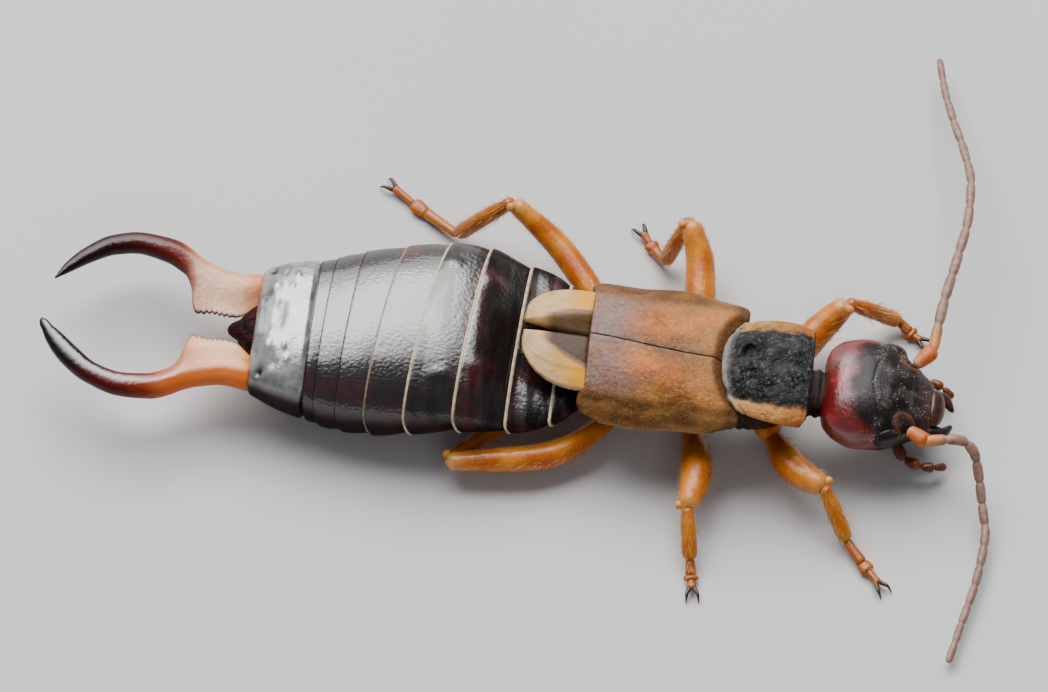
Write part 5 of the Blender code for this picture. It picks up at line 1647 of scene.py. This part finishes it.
LIP_STATIONS = ((0.0, 0.13), (0.5, 0.14), (1.0, 0.09))
JAW_STATIONS = ((0.0, 0.19), (0.5, 0.15), (0.85, 0.08), (1.0, 0.035))
PALP_BENDS = (
    (6.96, 0.50, 0.66), (7.22, 0.78, 0.46), (7.52, 0.90, 0.50), (7.78, 0.84, 0.42), (7.98, 0.72, 0.28),
)
LIP_PALP_BENDS = ((7.20, 0.10, 0.38), (7.48, 0.24, 0.40), (7.72, 0.28, 0.30))
lip_path = [face_point(7.50, 0.0, 1.24), face_point(7.68, 0.0, 1.16), face_point(7.82, 0.0, 1.02)]
lip = link_shell(lip_path, LIP_STATIONS, 28, 2.6, 22)
make_limb("upper_lip", [lip], mouth_finish, "mouthparts", "labrum")
for side_name, side in SIDES:
    jaw_base, jaw_bend = face_point(7.44, 0.36 * side, 0.92), face_point(7.80, 0.36 * side, 0.86)
    jaw_path = [jaw_base, jaw_bend, face_point(8.02, 0.14 * side, 0.82)]
    jaw = link_shell(jaw_path, JAW_STATIONS, 18, 0.85, 24)
    make_limb("jaw_" + side_name, [jaw], mouth_finish, "mouthparts", "mandible_" + side_name)
    joints = [face_point(x, across * side, z) for x, across, z in PALP_BENDS]
    links = []
    for number, (start, end) in enumerate(zip(joints, joints[1:])):
        radius = 0.115 - 0.014 * number
        stations = ((0.0, 0.7 * radius), (0.7, 1.1 * radius), (1.0, 0.8 * radius))
        links.append(link_shell([start, end], stations, 16, 1.0, 18, {"hair": 0.5}))
    make_limb("palp_" + side_name, links, palp_finish, "legs", "palp_" + side_name)
lip_links = [link_shell(
    [face_point(6.62, 0.0, 0.52), face_point(7.05, 0.0, 0.40), face_point(7.45, 0.0, 0.46)],
    ((0.0, 0.12), (0.5, 0.18), (1.0, 0.12)), 24, 1.5, 24,
)]
for side_name, side in SIDES:
    points = [face_point(x, across * side, z) for x, across, z in LIP_PALP_BENDS]
    lip_links.append(link_shell(points[:2], ((0.0, 0.07), (0.8, 0.085), (1.0, 0.07)), 14, 1.0, 14))
    lip_links.append(link_shell(points[1:], ((0.0, 0.06), (0.6, 0.075), (1.0, 0.055)), 14, 1.0, 14))
make_limb("lower_lip", lip_links, mouth_finish, "mouthparts", "labium")

# %% [markdown]
# ## The soft underside
# Under the shield and the wing cases one soft skin joins head, thorax and abdomen. It has
# a horny breast plate for each pair of legs, with folds between them, and no seam.

# %% Thorax and neck skin
SKIN_REAR, SKIN_FRONT = 1.30, 5.75
FOLD_SPACING = 0.17
skin_width = profile((
    (1.30, 0.62), (1.62, 0.84), (2.60, 0.90), (3.70, 0.86), (4.40, 0.80), (4.95, 0.60), (5.35, 0.44),
    (5.75, 0.44),
))
skin_top = profile(((1.30, 1.42), (2.60, 1.76), (3.70, 1.86), (4.85, 1.88), (5.25, 1.56), (5.75, 1.42)))
skin_bottom = profile(((1.30, 0.98), (1.62, 0.84), (3.70, 0.80), (4.95, 0.84), (5.35, 0.95), (5.75, 0.98)))
BREAST_PLATES = (2.05, 3.20, 4.60)


def skin_grid(rows, columns):
    across_share, up_share = ring_shares(columns, 2.0 / 3.0)
    grid, plates = [], []
    for x in np.linspace(SKIN_REAR, SKIN_FRONT, rows):
        top, bottom = float(skin_top(x)), float(skin_bottom(x))
        waist = 0.5 * (top + bottom)
        plate = max(float(hump(x, centre, 0.34)) for centre in BREAST_PLATES)
        folds = 0.02 * math.sin(2.0 * math.pi * x / FOLD_SPACING) * (1.0 - plate)
        width = float(skin_width(x)) + folds + 0.03 * plate
        z = waist + up_share * (0.5 * (top - bottom) + folds + 0.04 * plate * (up_share < 0))
        grid.append(np.stack((np.full(columns, x), float(middle(x)) + width * across_share, z), axis=1))
        plates.append(step_between(plate, 0.30, 0.9) * step_between(-up_share, -0.3, 0.5))
    return np.array(grid), {"plate": np.array(plates)}


skin_finish, tree, shader = start_finish("soft_skin_tan", 0.55, level=0.15)
skin = blend(tree, patches(tree, (3.0, 6.0, 6.0), 0.35, 0.7), (0.008, 0.004, 0.003), (0.026, 0.012, 0.007))
plate_colour = blend(tree, patches(tree, 3.0, 0.35, 0.7), (0.050, 0.016, 0.007), (0.100, 0.036, 0.014))
paint(tree, shader, tint(tree, skin, plate_colour, mark_value(tree, "plate")))
add_bump(tree, shader, grain(tree, 18.0, 0.9), 0.008)
points, marks = skin_grid(110, 72)
make_piece("thorax_skin", ring_shell(points, marks), skin_finish, "membrane", "thorax", "neck")

# %% [markdown]
# ## Bristles
# Short golden hairs cover the shins and feet, stand thinner on the thighs, and a few are on the
# head, the wing cases and the first joint of each feeler. Geometry Nodes scatter them over the
# finished pieces, denser where the "hair" mark says so, and lean each one along the limb. A
# hair is a cone of three sides, because there are thousands of them.

# %% Node tree for the bristles
coat_tree, source, target = geometry_tree("bristle_coat", (
    ("Hairs per mm2", "NodeSocketFloat", 60.0),
    ("Length", "NodeSocketFloat", 0.00012),
    ("Radius", "NodeSocketFloat", 0.000005),
    ("Lean", "NodeSocketFloat", 0.7),
    ("Seed", "NodeSocketInt", 7),
    ("Lowest root", "NodeSocketFloat", 0.00018),
    ("Finish", "NodeSocketMaterial", None),
))
scatter = add_node(coat_tree, "GeometryNodeDistributePointsOnFaces", distribute_method="RANDOM")
coat_tree.links.new(source.outputs["Geometry"], scatter.inputs["Mesh"])
hair_mark = add_node(coat_tree, "GeometryNodeInputNamedAttribute", data_type="FLOAT")
hair_mark.inputs["Name"].default_value = "hair"
per_square_metre = times(coat_tree, source.outputs["Hairs per mm2"], 1.0 / (MM * MM))
density = times(coat_tree, per_square_metre, hair_mark.outputs["Attribute"])
height_of = add_node(coat_tree, "ShaderNodeSeparateXYZ")
coat_tree.links.new(add_node(coat_tree, "GeometryNodeInputPosition").outputs[0], height_of.inputs[0])
off_floor = calculate(coat_tree, "GREATER_THAN", height_of.outputs["Z"], source.outputs["Lowest root"])
density = times(coat_tree, density, off_floor)
coat_tree.links.new(density, scatter.inputs["Density"])
coat_tree.links.new(source.outputs["Seed"], scatter.inputs["Seed"])
lie_mark = add_node(coat_tree, "GeometryNodeInputNamedAttribute", data_type="FLOAT_VECTOR")
lie_mark.inputs["Name"].default_value = "lie"
direction = add_node(coat_tree, "ShaderNodeMix", data_type="VECTOR")
coat_tree.links.new(source.outputs["Lean"], direction.inputs[0])
coat_tree.links.new(scatter.outputs["Normal"], direction.inputs[4])
coat_tree.links.new(lie_mark.outputs["Attribute"], direction.inputs[5])
aimed = add_node(coat_tree, "FunctionNodeAlignRotationToVector", axis="Z")
coat_tree.links.new(direction.outputs[1], aimed.inputs["Vector"])
cone = add_node(coat_tree, "GeometryNodeMeshCone")
cone.inputs["Vertices"].default_value = 3
cone.inputs["Radius Top"].default_value = 0.0
coat_tree.links.new(source.outputs["Radius"], cone.inputs["Radius Bottom"])
coat_tree.links.new(source.outputs["Length"], cone.inputs["Depth"])
sizes = add_node(coat_tree, "FunctionNodeRandomValue", data_type="FLOAT")
sizes.inputs[2].default_value = 0.55
sizes.inputs[3].default_value = 1.15
coat_tree.links.new(source.outputs["Seed"], sizes.inputs["Seed"])
planted = add_node(coat_tree, "GeometryNodeInstanceOnPoints")
coat_tree.links.new(scatter.outputs["Points"], planted.inputs["Points"])
coat_tree.links.new(cone.outputs["Mesh"], planted.inputs["Instance"])
coat_tree.links.new(aimed.outputs[0], planted.inputs["Rotation"])
coat_tree.links.new(sizes.outputs[1], planted.inputs["Scale"])
close_tree(coat_tree, source, target, planted)

# %% Bristle pieces
bristle_finish, tree, shader = start_finish("bristle_gold", 0.40, level=0.3)
paint(tree, shader, blend(tree, patches(tree, 6.0, 0.3, 0.7), (0.42, 0.22, 0.07), (0.62, 0.42, 0.20)))


def bristle_settings(count, length, radius, lean, seed):
    """Inputs of the bristle tree, from sizes in millimetres."""
    sizes = {"Length": length * MM, "Radius": radius * MM}
    return {"Hairs per mm2": count, **sizes, "Lean": lean, "Seed": seed}


FIRST_LEG_SEED = 11
BODY_SEED = 31
for number, name in enumerate(LEGS):
    settings = bristle_settings(120.0, 0.16, 0.0055, 0.58, FIRST_LEG_SEED + number)
    mesh = made["leg_amber_" + name].data.copy()
    grow("bristles_" + name, mesh, coat_tree, settings, bristle_finish, "legs")
for name, count, length, slot in (
    ("head_shell", 70.0, 0.060, "head_shell"), ("wing_case_left", 8.0, 0.040, "wing_cases"),
    ("wing_case_right", 8.0, 0.040, "wing_cases"), ("scape_left", 60.0, 0.07, "antennae"),
    ("scape_right", 60.0, 0.07, "antennae"),
):
    settings = bristle_settings(count, length, 0.005, 0.3, BODY_SEED)
    grow("bristles_" + name, made[name].data.copy(), coat_tree, settings, bristle_finish, slot)

# %% [markdown]
# ## Floor, light and air
# A museum photographs such a model on a plain pale sheet. A broad soft lamp hangs behind and
# above, where the photograph's bright sky was, and a weak one in front keeps the near side
# readable. A large card behind is seen only as a mirror image, which makes the silver on the
# back.

# %% Studio
FLOOR_SIZE = 0.8
bpy.ops.mesh.primitive_plane_add(size=FLOOR_SIZE)
floor = bpy.context.object
floor.name = "studio_floor"
floor_finish, tree, shader = start_finish("pale_sheet", 0.75, level=0.05)
paint(tree, shader, blend(tree, patches(tree, 0.05, 0.3, 0.7), (0.58, 0.585, 0.59), (0.62, 0.62, 0.62)))
floor.data.materials.append(floor_finish)


def add_lamp(name, azimuth, elevation, distance, size, energy, colour):
    """Rectangular soft lamp that looks at the animal; azimuth 0 is towards the head."""
    lamp = bpy.data.lights.new(name, "AREA")
    lamp.shape = "RECTANGLE"
    lamp.size, lamp.size_y = size
    lamp.energy = energy
    lamp.color = colour
    item = bpy.data.objects.new(name, lamp)
    a, e = math.radians(azimuth), math.radians(elevation)
    away = Vector((math.cos(e) * math.cos(a), math.cos(e) * math.sin(a), math.sin(e)))
    item.location = away * distance + Vector((0.0, 0.0, 0.001))
    item.rotation_euler = away.to_track_quat("Z", "Y").to_euler()
    bpy.context.scene.collection.objects.link(item)
    return item


add_lamp("sky_window", 110.0, 58.0, 0.20, (0.20, 0.16), 0.95, (1.0, 0.985, 0.96))
fill = add_lamp("front_fill", -70.0, 42.0, 0.25, (0.14, 0.10), 0.060, (1.0, 0.97, 0.94))
fill.visible_glossy = False
sheen = add_lamp("sheen_card", 120.0, 54.0, 0.25, (0.44, 0.46), 2.9, (0.97, 0.99, 1.0))
sheen.visible_diffuse = False
world = bpy.data.worlds.new("studio_air")
bpy.context.scene.world = world
world.use_nodes = True
background = world.node_tree.nodes["Background"]
background.inputs["Color"].default_value = (0.82, 0.88, 1.0, 1.0)
background.inputs["Strength"].default_value = 0.20
